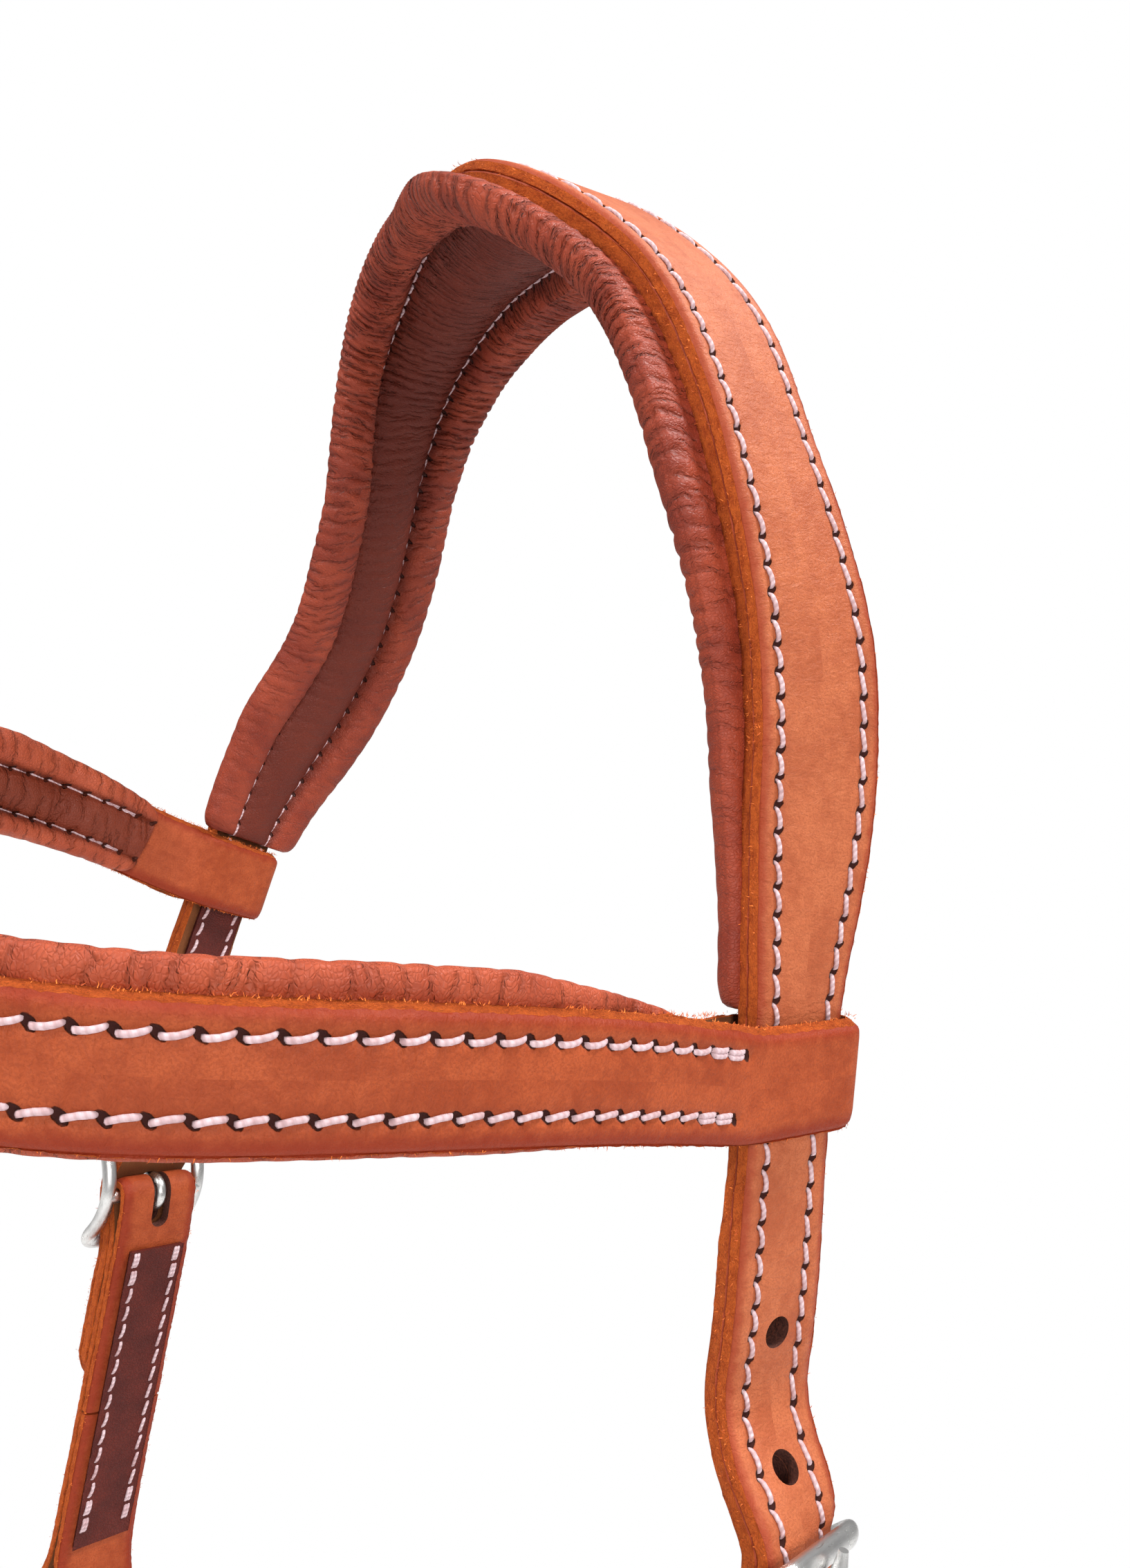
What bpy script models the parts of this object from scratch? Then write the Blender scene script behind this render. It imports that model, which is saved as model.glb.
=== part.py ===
"""A padded leather sidepull bridle, hanging from its headpiece, in metres with +Z up.

The horse would face -Y. Its near (left) side is +X and its far side is -X.
The origin is at the middle of the flat under the headpiece's pad, where the poll carries it.
"""

import math

import bmesh
import bpy
import numpy as np
from mathutils import Matrix, Vector

# Overall sizes
HALF_SPAN = 0.081
DROP = 0.140
CUT_OVERRUN = 0.004
GAP = 0.0003
LAP_GAP = 0.0005

# Straps
STRAP_THICKNESS = 0.0024
BACKING_THICKNESS = 0.0018
LINING_THICKNESS = 0.0008
EDGE_ROUND = 0.0005
WIDTH_SHARES = (0.0, 0.45, 0.78, 1.0)
BILLET_WIDTH = 0.019
CROWN_WIDTH = 0.0235
POLL_WIDTH = 0.0305
LINING_WIDTH = 0.0140
TIP_LENGTH = 0.010
TIP_SHARES = (0.25, 0.62, 0.86, 1.0)
SHARP_ANGLE = 40
WELD_DISTANCE = 1e-6
AXIS_AID = (0.31, 0.47, 0.83)
PUNCH_DEPTH = 0.024

# Headpiece line on each side: side, back and height shares, then the turn to the front in degrees
NEAR_SHARES = (
    (0.302, -0.166, -0.030, 24),
    (0.586, -0.069, -0.117, 10),
    (0.816, 0.020, -0.318, 8),
    (0.960, 0.101, -0.554, 18),
    (1.010, 0.136, -0.787, 17),
    (1.033, 0.139, -0.950, 9),
)
FAR_SHARES = (
    (-0.309, 0.124, -0.005, -25),
    (-0.609, 0.207, -0.121, 4),
    (-0.755, 0.246, -0.324, 14),
    (-0.920, 0.308, -0.577, 11),
    (-1.019, 0.235, -0.766, 8),
    (-1.065, 0.151, -0.938, 15),
)
STRAIGHT_SHARES = (0.14, 0.5, 0.86, 1.0)
NEAR_BEND_SHARES = (1.078, 0.186, -1.387)
FAR_BEND_SHARES = (-1.054, -0.010, -1.371)
LOOP_KNOT = 5
UPPER_STATION = 0.0085
LAP_STATION = 0.0024

# Headpiece pad
POLL_ROWS = 0.021
CROWN_ROWS = 0.0165
BILLET_ROWS = 0.0106
PAD_SIDE = 0.0120
PAD_SIDE_AT_LOOP = 0.0095
NEAR_PAD_SIDE_AT_LOOP = 0.0055
PAD_HEIGHT = 0.0062
PAD_HEIGHT_AT_LOOP = 0.0034
PAD_SEAM = 0.0016
PAD_LOOP_GAP = 0.0012
PAD_SIDE_SHARES = (0.0, 0.75, 1.0)
NEAR_PAD_SIDE_SHARES = (0.0, 0.48, 0.88)
PAD_HEIGHT_SHARES = (0.0, 0.75, 0.97)
REST_LENGTH = 0.012
REST_WIDTH = 0.006
REST_DEPTH = 0.0005

# Browband
BAND_WIDTH = 0.017
BAND_ROWS = 0.0091
BAND_CLEARANCE = 0.0010
BAND_TUCK = 0.012
TUCK_ENTRY = 0.0007
PAD_START_SHARE = 1.05
LIFT_SHARES = (2.25, 3.0)
PAD_FULL_SHARE = 4.0
LOOP_START_SHARE = 0.6
LOOP_TURN_ANGLES = (29, 57, 90)
LOOP_UNDER_ANGLES = (0, 32, 60, 90)
LINING_END_SHARE = 0.6
BAND_LOOP_DEPTH = 0.0106
BAND_PAD_SIDE = 0.0090
BAND_PAD_SIDE_BELOW = 0.0052
BAND_PAD_SIDE_AT_LOOP = 0.0042
BAND_PAD_HEIGHT = 0.0048
BAND_PAD_HEIGHT_AT_LOOP = 0.0028
BAND_PAD_SEAM = 0.0014
BAND_SHARES = (
    (1.049, -0.308, -1.008),
    (0.962, -0.841, -0.998),
    (0.700, -1.270, -1.008),
    (0.370, -1.490, -0.991),
    (0.0, -1.565, -0.961),
    (-0.370, -1.490, -0.926),
    (-0.700, -1.270, -0.902),
    (-0.990, -0.840, -0.889),
    (-1.065, -0.307, -0.947),
)
BAND_STATIONS = 46

# Centre-bar buckles
BAR_RADIUS = 0.0016
BUCKLE_HALF_HEIGHT = 0.0135
BUCKLE_BOW = 0.0076
BUCKLE_SIDE_GAP = 0.0007
BUCKLE_CORNER = 0.0040
BAR_SHARE = 0.98
FRAME_SIDE_SHARES = (0.66, 0.33, 0.0, -0.33, -0.66)
TONGUE_RADIUS = 0.0013
TONGUE_OVERHANG = 0.0026
EYE_TURN = 262
SLOT_WIDTH = 0.0044
SLOT_BELOW_BAR = 0.0068
HOLE_RADIUS = 0.0025
HOLE_PITCH = 0.0200
HOLE_SHARE = 0.42
HOLE_REACH_SHARE = 1.1
HOLE_BEYOND_BAR = 0.0095
HOLES_ABOVE = 2
HOLES_BELOW = 1
JAW_SPARE_HOLES = (-1, 1, 2)
BILLET_PAST_BUCKLE = 0.034
JAW_PAST_BUCKLE = 0.018
HOLE_FROM_BARS = 1.5
TAIL_SHARES = (0.25, 0.5, 0.75, 1.0)
CHAPE_SHARES = (1.3, 1.0, 0.7, 0.35)
CHAPE_LIMIT_SHARE = 0.98

# Cheekpieces: buckle places as side, back and height shares
NEAR_BUCKLE_SHARES = (1.153, 0.138, -1.589)
FAR_BUCKLE_SHARES = (-0.966, 0.016, -1.573)
CHEEK_FORWARD_SHARE = 0.03
CHEEK_LENGTH = 0.098
LINING_TOP = 0.0115
LINING_INSET = 0.0155
CHAPE_FALL = 0.7
FOLD_RUN = 2.6
BUTT_SHARE = 0.5
RUN_SHARES = (0.5, 1.0)
LINING_MIDDLE_SHARES = (0.4, 0.6)
OPENING_SHARES = ((0.55, 0.35), (0.25, 0.85))

# Side rings, noseband and jaw strap
RING_RADIUS = 0.0275
RING_WIRE = 0.00225
RING_PLAY = 0.0024
NOSE_DROOP = 35
NOSE_REACH = 0.115
NOSE_WIDTH = 0.0190
NOSE_ROWS = 0.0120
NOSE_PAD_SIDE = 0.0095
NOSE_PAD_SIDE_AT_RING = 0.0033
NOSE_PAD_HEIGHT = 0.0055
NOSE_PAD_HEIGHT_AT_RING = 0.0022
NOSE_PAD_START_SHARE = 0.8
NOSE_PAD_FULL_SHARE = 2.2
NOSE_BULGE_SHARES = ((0.98, 0.50), (0.72, 0.82), (0.38, 0.965))
NOSE_STATIONS = 40
NOSE_FOLD = 0.024
JAW_DROOP = 48
JAW_REACH = 0.088
JAW_TILT = 16
JAW_CHAPE_LENGTH = 0.052
JAW_FOLD = 0.022
LEG_SHARES = (0.0, 0.45, 0.8, 1.1)
FOLD_LEG_SHARES = (1.0, 0.8, 0.45)
FOLD_REST_SHARE = 0.35
BACKING_START = 1.15
JAW_WIDTH = 0.016
JAW_BULGE_SHARES = (
    (-0.98, 0.50),
    (-0.74, 0.80),
    (-0.30, 0.98),
    (0.20, 0.99),
    (0.58, 0.90),
)

LEATHER_TAN = (0.64, 0.22, 0.09)
LEATHER_BROWN = (0.34, 0.075, 0.045)
LEATHER_DARK = (0.13, 0.022, 0.018)
METAL = (0.72, 0.72, 0.71)
TAN_ROUGHNESS = 0.6
BROWN_ROUGHNESS = 0.65
DARK_ROUGHNESS = 0.7
METAL_ROUGHNESS = 0.25

PLY = STRAP_THICKNESS + GAP + BACKING_THICKNESS
RING_FOLD = RING_WIRE + RING_PLAY + STRAP_THICKNESS / 2
CROWN_TOP = PLY + GAP + PAD_HEIGHT - REST_DEPTH
UP = np.array([0.0, 0.0, 1.0])
BACK = np.array([0.0, 1.0, 0.0])


def unit(vector):
    return vector / np.linalg.norm(vector, axis=-1, keepdims=True)


def place(shares):
    """A point given by its side, back and height shares."""
    side, back, height = shares[:3]
    return np.array([side * HALF_SPAN, back * HALF_SPAN, CROWN_TOP + height * DROP])


def spline(knots, count):
    """Points on the natural cubic through the knots, at a number of even places or at the places given."""
    knots = np.array(knots, float)
    steps = np.linalg.norm(np.diff(knots[:, :3], axis=0), axis=1)
    at = np.concatenate([[0], np.cumsum(steps)])
    size = len(knots)
    system = np.eye(size)
    right = np.zeros_like(knots)
    for i in range(1, size - 1):
        system[i, i - 1: i + 2] = steps[i - 1], 2 * (steps[i - 1] + steps[i]), steps[i]
        slopes = (knots[i + 1] - knots[i]) / steps[i] - (knots[i] - knots[i - 1]) / steps[i - 1]
        right[i] = 6 * slopes
    bend = np.linalg.solve(system, right)
    places = np.linspace(0, at[-1], count) if np.isscalar(count) else np.array(count)
    span = np.clip(np.searchsorted(at, places, side="right") - 1, 0, size - 2)
    step = steps[span][:, None]
    after = (places - at[span])[:, None]
    before = step - after
    curve = (bend[span] * before**3 + bend[span + 1] * after**3) / (6 * step)
    curve += (knots[span] / step - bend[span] * step / 6) * before
    curve += (knots[span + 1] / step - bend[span + 1] * step / 6) * after
    return curve, places


def steps_between(first, last, step):
    """Even places from first to last, about a step apart."""
    return np.linspace(first, last, max(2, round((last - first) / step) + 1))


def lengths(points):
    """How far along the line each point is."""
    return np.concatenate([[0], np.cumsum(np.linalg.norm(np.diff(points, axis=0), axis=1))])


class Ribbon:
    """A line with, at each point, its direction, the way across it and the way out of its face."""

    def __init__(self, points, guide):
        self.points = np.array(points, float)
        sections = unit(np.diff(self.points, axis=0))
        ends = np.concatenate([sections[:1], sections]), np.concatenate([sections, sections[-1:]])
        self.along = unit(ends[0] + ends[1])
        guide = np.broadcast_to(guide, self.points.shape)
        self.across = unit(guide - (guide * self.along).sum(1)[:, None] * self.along)
        self.out = np.cross(self.across, self.along)
        self.at = lengths(self.points)

    def part(self, first, last):
        """The ribbon between two places along it, with its own points there."""
        keep = (self.at > first + GAP) & (self.at < last - GAP)
        at = np.concatenate([[first], self.at[keep], [last]])
        points = np.stack([np.interp(at, self.at, self.points[:, k]) for k in range(3)], axis=1)
        guide = np.stack([np.interp(at, self.at, self.across[:, k]) for k in range(3)], axis=1)
        return Ribbon(points, guide)

    def spot(self, at, across=0.0, out=0.0):
        """A point of the ribbon, with the three directions there."""
        point, along, side, face = (
            np.array([np.interp(at, self.at, values[:, k]) for k in range(3)])
            for values in (self.points, self.along, self.across, self.out)
        )
        return point + across * side + out * face, unit(along), unit(side), unit(face)


def collection(name):
    found = bpy.data.collections.new(name)
    bpy.context.scene.collection.children.link(found)
    return found


def clear_scene():
    for old in list(bpy.data.objects):
        bpy.data.objects.remove(old, do_unlink=True)


def material(name, colour, roughness, metallic=0.0):
    made = bpy.data.materials.new(name)
    made.use_nodes = True
    shader = made.node_tree.nodes["Principled BSDF"]
    shader.inputs["Base Color"].default_value = (*colour, 1.0)
    shader.inputs["Roughness"].default_value = roughness
    shader.inputs["Metallic"].default_value = metallic
    made.diffuse_color = (*colour, 1.0)
    return made


def add_mesh(name, bm, group, finish=None):
    """An object from a bmesh, with its faces turned outwards."""
    bmesh.ops.recalc_face_normals(bm, faces=bm.faces[:])
    mesh = bpy.data.meshes.new(name)
    bm.to_mesh(mesh)
    bm.free()
    made = bpy.data.objects.new(name, mesh)
    group.objects.link(made)
    if finish:
        mesh.materials.append(finish)
    mesh.shade_smooth()
    mesh.set_sharp_from_angle(angle=math.radians(SHARP_ANGLE))
    return made


def loft(name, ribbon, sections, group, finish):
    """A closed solid through one outline of (across, out) points at each place of the ribbon."""
    bm = bmesh.new()
    rings = []
    for k, outline in enumerate(sections):
        centre, side, face = ribbon.points[k], ribbon.across[k], ribbon.out[k]
        rings.append([bm.verts.new(centre + across * side + out * face) for across, out in outline])
    for one, two, outline in zip(rings, rings[1:], sections):
        join_rings(bm, one, two, outline)
    bm.faces.new(rings[0])
    bm.faces.new(rings[-1])
    return add_mesh(name, bm, group, finish)


def join_rings(bm, one, two, outline):
    """Triangles between two outlines, all split the same way so that layers stay parallel."""
    for k in range(len(one)):
        after = (k + 1) % len(one)
        if outline[k][0] < outline[after][0]:
            bm.faces.new((one[k], one[after], two[after]))
            bm.faces.new((one[k], two[after], two[k]))
        else:
            bm.faces.new((one[k], one[after], two[k]))
            bm.faces.new((one[after], two[after], two[k]))


def strap_section(width, inner, outer):
    """A flat strap's outline with its two outer corners rounded off."""
    half = width / 2
    corner = half - EDGE_ROUND
    return [
        (-half, inner),
        (half, inner),
        (half, outer - EDGE_ROUND),
        (corner, outer),
        (-corner, outer),
        (-half, outer - EDGE_ROUND),
    ]


def strap(name, ribbon, widths, inner, outer, group, finish):
    widths = np.broadcast_to(widths, (len(ribbon.points),))
    sections = [strap_section(width, inner, outer) for width in widths]
    return loft(name, ribbon, sections, group, finish)


# A pad's channel as (share of its width, share of its height above the seam), from seam to seam
MIDDLE_CHANNEL_SHARES = ((0.14, 0.62), (0.32, 0.94), (0.68, 0.94), (0.86, 0.62))
TOP_SHARE = 0.9
SIDE_CHANNEL_SHARES = ((0.12, 0.55), (0.36, 1.0), (0.66, 1.0), (0.90, 0.66), (1.0, 0.28))


def pad_section(rows, sides, height, seam, top, width):
    """A pad's outline: three sewn channels below, closed by drawn-in sides, and flat above."""
    swell = height - seam
    low, edges = [], []
    for side in sides:
        low.append([(rows / 2 + share * side, -seam - up * swell) for share, up in SIDE_CHANNEL_SHARES])
        edges.append(max(rows / 2 + TOP_SHARE * side, width / 2 + GAP))
    middle = [(share * rows - rows / 2, -seam - up * swell) for share, up in MIDDLE_CHANNEL_SHARES]
    front = [(-across, out) for across, out in reversed(low[0])]
    seams = [(-rows / 2, -seam)], [(rows / 2, -seam)]
    above = [(edges[1], 0.0), (width / 2, 0.0), (-width / 2, 0.0), (-edges[0], 0.0)]
    outline = front + seams[0] + middle + seams[1] + low[1] + above
    return [(across, top + out) for across, out in outline]


def move_origin(target, point):
    """Puts an object's origin on its joint's axis and leaves its shape where it is."""
    point = Vector(point.tolist())
    target.data.transform(target.matrix_world)
    target.data.transform(Matrix.Translation(-point))
    target.matrix_world = Matrix.Translation(point)


def boolean(target, cutter, operation="DIFFERENCE"):
    modifier = target.modifiers.new(cutter.name, "BOOLEAN")
    modifier.operation = operation
    modifier.solver = "EXACT"
    modifier.object = cutter


def hide(helper):
    helper.hide_render = True
    helper.display_type = "WIRE"
    return helper


def basis(x_axis, y_axis, z_axis, origin):
    """A matrix from three directions and a place."""
    matrix = np.eye(4)
    matrix[:3, 0], matrix[:3, 1], matrix[:3, 2], matrix[:3, 3] = x_axis, y_axis, z_axis, origin
    return Matrix(matrix.tolist())


def round_cutter(name, centre, axis, radius, depth, group, sides=14):
    bm = bmesh.new()
    bmesh.ops.create_cone(
        bm, cap_ends=True, segments=sides, radius1=radius, radius2=radius, depth=depth
    )
    made = add_mesh(name, bm, group)
    axis = unit(axis)
    first = unit(np.cross(axis, AXIS_AID))
    made.matrix_world = basis(first, np.cross(axis, first), axis, centre)
    return hide(made)


def box_cutter(name, centre, axes, sizes, group):
    bm = bmesh.new()
    bmesh.ops.create_cube(bm, size=1.0)
    bmesh.ops.scale(bm, vec=sizes, verts=bm.verts[:])
    made = add_mesh(name, bm, group)
    made.matrix_world = basis(*axes, centre)
    return hide(made)


def wire(name, points, radius, group, finish, closed=False, sides=2):
    """A bent round wire as a mesh, so that it can be joined."""
    curve = bpy.data.curves.new(name, "CURVE")
    curve.dimensions = "3D"
    curve.bevel_depth = radius
    curve.bevel_resolution = sides
    curve.use_fill_caps = True
    line = curve.splines.new("POLY")
    line.points.add(len(points) - 1)
    for k, point in enumerate(points):
        line.points[k].co = (*point, 1.0)
    line.use_cyclic_u = closed
    bent = bpy.data.objects.new(name, curve)
    group.objects.link(bent)
    bpy.context.view_layer.update()
    mesh = bpy.data.meshes.new_from_object(bent.evaluated_get(bpy.context.evaluated_depsgraph_get()))
    bpy.data.objects.remove(bent, do_unlink=True)
    bm = bmesh.new()
    bm.from_mesh(mesh)
    bmesh.ops.remove_doubles(bm, verts=bm.verts[:], dist=WELD_DISTANCE)
    bpy.data.meshes.remove(mesh)
    return add_mesh(name, bm, group, finish)


def arc(centre, first, second, radius, start, end, count):
    """Points round a centre, from one angle in degrees to another, turning from first to second."""
    angles = np.radians(np.linspace(start, end, count))
    turn = np.outer(np.cos(angles), first) + np.outer(np.sin(angles), second)
    return np.array(centre) + radius * turn


class Lap:
    """Where a billet is buckled over a chape: places are (down the strap, out of its face)."""

    def __init__(self, centre, down, out, width, billet, past):
        self.centre = np.array(centre)
        self.down = unit(down)
        self.out = unit(out - np.dot(out, self.down) * self.down)
        self.across = np.cross(self.out, -self.down)
        self.back = self.across * math.copysign(1, self.across[1])
        self.width = width
        self.billet = billet
        self.past = past
        self.fold = BAR_RADIUS + GAP + STRAP_THICKNESS / 2
        self.crest = self.fold + STRAP_THICKNESS / 2 + LAP_GAP + billet
        self.low = BUCKLE_BOW - BAR_RADIUS - LAP_GAP

    def at(self, down, out, across=0.0):
        return self.centre + down * self.down + out * self.out + across * self.across

    def line(self, places):
        return [self.at(*place) for place in places]

    def billet_line(self):
        """The billet's outer face from the top bar, over the centre bar, to its tip."""
        high = BUCKLE_HALF_HEIGHT
        rest = self.low - LAP_GAP
        shares = np.linspace(-1, 1, 9)
        rises = [(1 + math.cos(math.pi * share)) / 2 for share in shares]
        wave = [
            (share * high, rest + (self.crest - rest) * rise) for share, rise in zip(shares, rises)
        ]
        tail = [(high + share * self.past, rest) for share in TAIL_SHARES]
        return self.line([*wave, *tail])

    def chape_offset(self):
        """How far out the middle of the chape's outer leg lies below the buckle."""
        return self.low - LAP_GAP - self.billet - LAP_GAP - STRAP_THICKNESS / 2

    def inner_offset(self):
        return self.chape_offset() - STRAP_THICKNESS - GAP

    def middle_offset(self):
        return (self.chape_offset() + self.inner_offset()) / 2

    def chape_line(self):
        """The chape from its inner leg, up and round the centre bar, down to below the buckle."""
        high = BUCKLE_HALF_HEIGHT
        inner, outer = self.inner_offset(), self.chape_offset()
        inside = [(high * share, inner) for share in CHAPE_SHARES[:2]]
        for share in CHAPE_SHARES[2:]:
            out = inner + (-self.fold - inner) * (1 - share) ** 2
            inside.append((high * share, min(out, -self.fold * CHAPE_LIMIT_SHARE)))
        turn = arc((0, 0), (0, -1), (-1, 0), self.fold, 0, 180, 9)
        falls = [(1 + math.cos(math.pi * share**CHAPE_FALL)) / 2 for share in TAIL_SHARES]
        outside = [
            (high * share, outer + (self.fold - outer) * fall)
            for share, fall in zip(TAIL_SHARES, falls)
        ]
        return self.line([*inside, *turn.tolist(), *outside])


def frame_outline(half):
    """Half of a buckle frame's outline as (down, across), from the middle of its lower bar up one side."""
    high, corner = BUCKLE_HALF_HEIGHT, BUCKLE_CORNER
    low_corner = arc((high - corner, half - corner), (1, 0), (0, 1), corner, 0, 90, 4)
    sides = [(share * (high - corner), half) for share in FRAME_SIDE_SHARES]
    high_corner = arc((corner - high, half - corner), (0, 1), (-1, 0), corner, 0, 90, 4)
    return [*low_corner.tolist(), *sides, *high_corner.tolist()]


def buckle_frame(name, lap, group, cutters, finish):
    """A bowed frame round the strap with a bar across its middle."""
    half = lap.width / 2 + BUCKLE_SIDE_GAP + BAR_RADIUS
    one_side = frame_outline(half)
    outline = one_side + [(down, -across) for down, across in reversed(one_side)]
    bow = [BUCKLE_BOW * (down / BUCKLE_HALF_HEIGHT) ** 2 for down, _ in outline]
    points = [lap.at(down, out, across) for (down, across), out in zip(outline, bow)]
    frame = wire(name, points, BAR_RADIUS, group, finish, closed=True)
    bar_ends = [lap.at(0, 0, -half), lap.at(0, 0, half)]
    bar = wire(name + "_bar", bar_ends, BAR_SHARE * BAR_RADIUS, cutters, None)
    boolean(frame, hide(bar), "UNION")
    return frame


def tongue_line():
    """The eye's open turn round the centre bar, then the shank that leans out over the top bar."""
    eye = BAR_RADIUS + GAP + TONGUE_RADIUS
    high = BUCKLE_HALF_HEIGHT
    leave = math.degrees(math.atan2(BUCKLE_BOW, high))
    turn = arc((0, 0), (0, 1), (1, 0), eye, leave + EYE_TURN, leave, 15)
    over = arc((-high, BUCKLE_BOW), (0, 1), (1, 0), eye, leave, 0, 3)
    tip = (-high - TONGUE_OVERHANG, BUCKLE_BOW + eye)
    return turn.tolist(), [*over.tolist(), tip]


def buckle_tongue(name, lap, group, finish):
    turn, shank = tongue_line()
    return wire(name, lap.line([*turn, *shank]), TONGUE_RADIUS, group, finish)


def build_buckle(side, lap, group, cutters, finishes):
    frame = buckle_frame(f"{side}_buckle_frame", lap, group, cutters, finishes["metal"])
    tongue = buckle_tongue(f"{side}_buckle_tongue", lap, group, finishes["metal"])
    for piece in (frame, tongue):
        move_origin(piece, lap.centre)


def cut_tongue_hole(target, lap, group, label):
    """The hole in use, which the tongue leans through."""
    turn, shank = tongue_line()
    start, end = lap.at(*turn[-1]), lap.at(*shank[0])
    middle = start + HOLE_SHARE * (end - start)
    depth = HOLE_REACH_SHARE * np.linalg.norm(end - start)
    boolean(target, round_cutter(label, middle, end - start, HOLE_RADIUS, depth, group))


def cut_slot(target, lap, group, label):
    """The slot in the chape's fold, which the tongue's eye turns in."""
    low, high = -lap.fold - CUT_OVERRUN, SLOT_BELOW_BAR
    centre = lap.at((low + high) / 2, 0)
    sizes = (high - low, 2 * (lap.fold + CUT_OVERRUN), SLOT_WIDTH)
    cutter = box_cutter(label, centre, (lap.down, lap.out, lap.across), sizes, group)
    boolean(target, cutter)


def side_guides(shares):
    """The way across the strap at each knot of one side, turned to the front."""
    turns = [math.copysign(math.radians(share[3]), share[0] * share[3]) for share in shares]
    return [np.array([math.sin(turn), math.cos(turn), 0]) for turn in turns]


def headpiece_half(shares, bend, lap):
    """One side's knots and guides, from beside the poll down to the billet's tip."""
    wave = lap.billet_line()
    last = place(shares[LOOP_KNOT])
    straight = [last + share * (place(bend) - last) for share in STRAIGHT_SHARES]
    straight.append((straight[-1] + wave[0]) / 2)
    knots = [place(share) for share in shares] + straight + wave
    guides = side_guides(shares)
    guides += [guides[-1]] * len(straight) + [lap.back] * len(wave)
    return knots, guides, len(wave)


def headpiece_line(laps):
    """The outer face's line from the near billet's tip, over the poll, to the far billet's tip."""
    near = headpiece_half(NEAR_SHARES, NEAR_BEND_SHARES, laps["near"])
    far = headpiece_half(FAR_SHARES, FAR_BEND_SHARES, laps["far"])
    near_knots, near_guides, near_tail = near
    far_knots, far_guides, far_tail = far
    knots = np.array([*near_knots[::-1], np.array([0, 0, CROWN_TOP]), *far_knots])
    guides = np.array([*near_guides[::-1], BACK, *far_guides])
    at = lengths(knots)
    first, last = at[near_tail - 1], at[-far_tail]
    parts = [steps_between(0, first, LAP_STATION)[:-1]]
    parts += [steps_between(first, last, UPPER_STATION)[:-1], steps_between(last, at[-1], LAP_STATION)]
    places = np.concatenate(parts)
    points = spline(knots, places)[0]
    guide = np.stack([np.interp(places, at, guides[:, k]) for k in range(3)], axis=1)
    return Ribbon(points, guide)


class Headpiece:
    """The headpiece's line with the places along it that other pieces share."""

    def __init__(self, laps):
        self.line = headpiece_line(laps)
        line = self.line
        self.end = line.at[-1]
        self.poll = self.nearest(np.array([0, 0, CROWN_TOP]))
        self.loop = {
            "near": self.nearest(place(NEAR_SHARES[LOOP_KNOT])) - BAND_LOOP_DEPTH,
            "far": self.nearest(place(FAR_SHARES[LOOP_KNOT])) + BAND_LOOP_DEPTH,
        }
        self.bar = {
            "near": self.nearest(laps["near"].at(-BUCKLE_HALF_HEIGHT, laps["near"].low)),
            "far": self.nearest(laps["far"].at(-BUCKLE_HALF_HEIGHT, laps["far"].low)),
        }

    def nearest(self, point):
        fine = np.linspace(0, self.line.at[-1], 2000)
        line = self.line
        places = np.stack([np.interp(fine, line.at, line.points[:, k]) for k in range(3)], axis=1)
        return fine[np.argmin(np.linalg.norm(places - point, axis=1))]

    def share_to_loop(self, at):
        """0 at the poll, 1 at the browband loops, more below them."""
        near = (self.poll - at) / (self.poll - self.loop["near"])
        far = (at - self.poll) / (self.loop["far"] - self.poll)
        return np.where(at < self.poll, near, far)

    def widths(self, at):
        share = self.share_to_loop(at)
        values = [POLL_WIDTH, CROWN_WIDTH, CROWN_WIDTH, BILLET_WIDTH]
        wide = np.interp(share, WIDTH_SHARES, values)
        from_tip = np.minimum(at, self.end - at)
        return wide * np.interp(from_tip, np.linspace(0, TIP_LENGTH, len(TIP_SHARES)), TIP_SHARES)

    def rows(self, at):
        share = self.share_to_loop(at)
        values = [POLL_ROWS, CROWN_ROWS, CROWN_ROWS, BILLET_ROWS]
        return np.interp(share, WIDTH_SHARES, values)


def punch_billets(targets, head, laps, cutters):
    """The holes in use and the spare ones, through both plies."""
    for side, lap in laps.items():
        toward = 1 if side == "near" else -1
        for target in targets:
            cut_tongue_hole(target, lap, cutters, f"{side}_hole_in_use_{target.name}")
        used = head.bar[side] - toward * HOLE_BEYOND_BAR
        spare = [k for k in range(-HOLES_BELOW, HOLES_ABOVE + 1) if k]
        for k in spare:
            point, along, across, out = head.line.spot(used + toward * k * HOLE_PITCH)
            for target in targets:
                label = f"{side}_spare_hole_{k + HOLES_BELOW}_{target.name}"
                cutter = round_cutter(label, point, out, HOLE_RADIUS, PUNCH_DEPTH, cutters)
                boolean(target, cutter)


def build_headpiece(head, laps, group, cutters, finishes):
    line = head.line
    widths = head.widths(line.at)
    outer = strap("headpiece_strap", line, widths, -STRAP_THICKNESS, 0, group, finishes["tan"])
    low = -PLY
    backing = strap(
        "headpiece_backing", line, widths, low, low + BACKING_THICKNESS, group, finishes["tan"]
    )
    punch_billets([outer, backing], head, laps, cutters)
    build_headpiece_pad(head, group, cutters, finishes)
    for side in ("near", "far"):
        build_billet_lining(side, head, laps[side], group, finishes)


def pad_sides(head, at):
    """How far the pad reaches past its stitches, which is less down the near side than down the far one."""
    share = head.share_to_loop(at)
    near = np.interp(share, NEAR_PAD_SIDE_SHARES, [PAD_SIDE, PAD_SIDE, NEAR_PAD_SIDE_AT_LOOP])
    far = np.interp(share, PAD_SIDE_SHARES, [PAD_SIDE, PAD_SIDE, PAD_SIDE_AT_LOOP])
    return np.where(at < head.poll, near, far)


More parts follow.
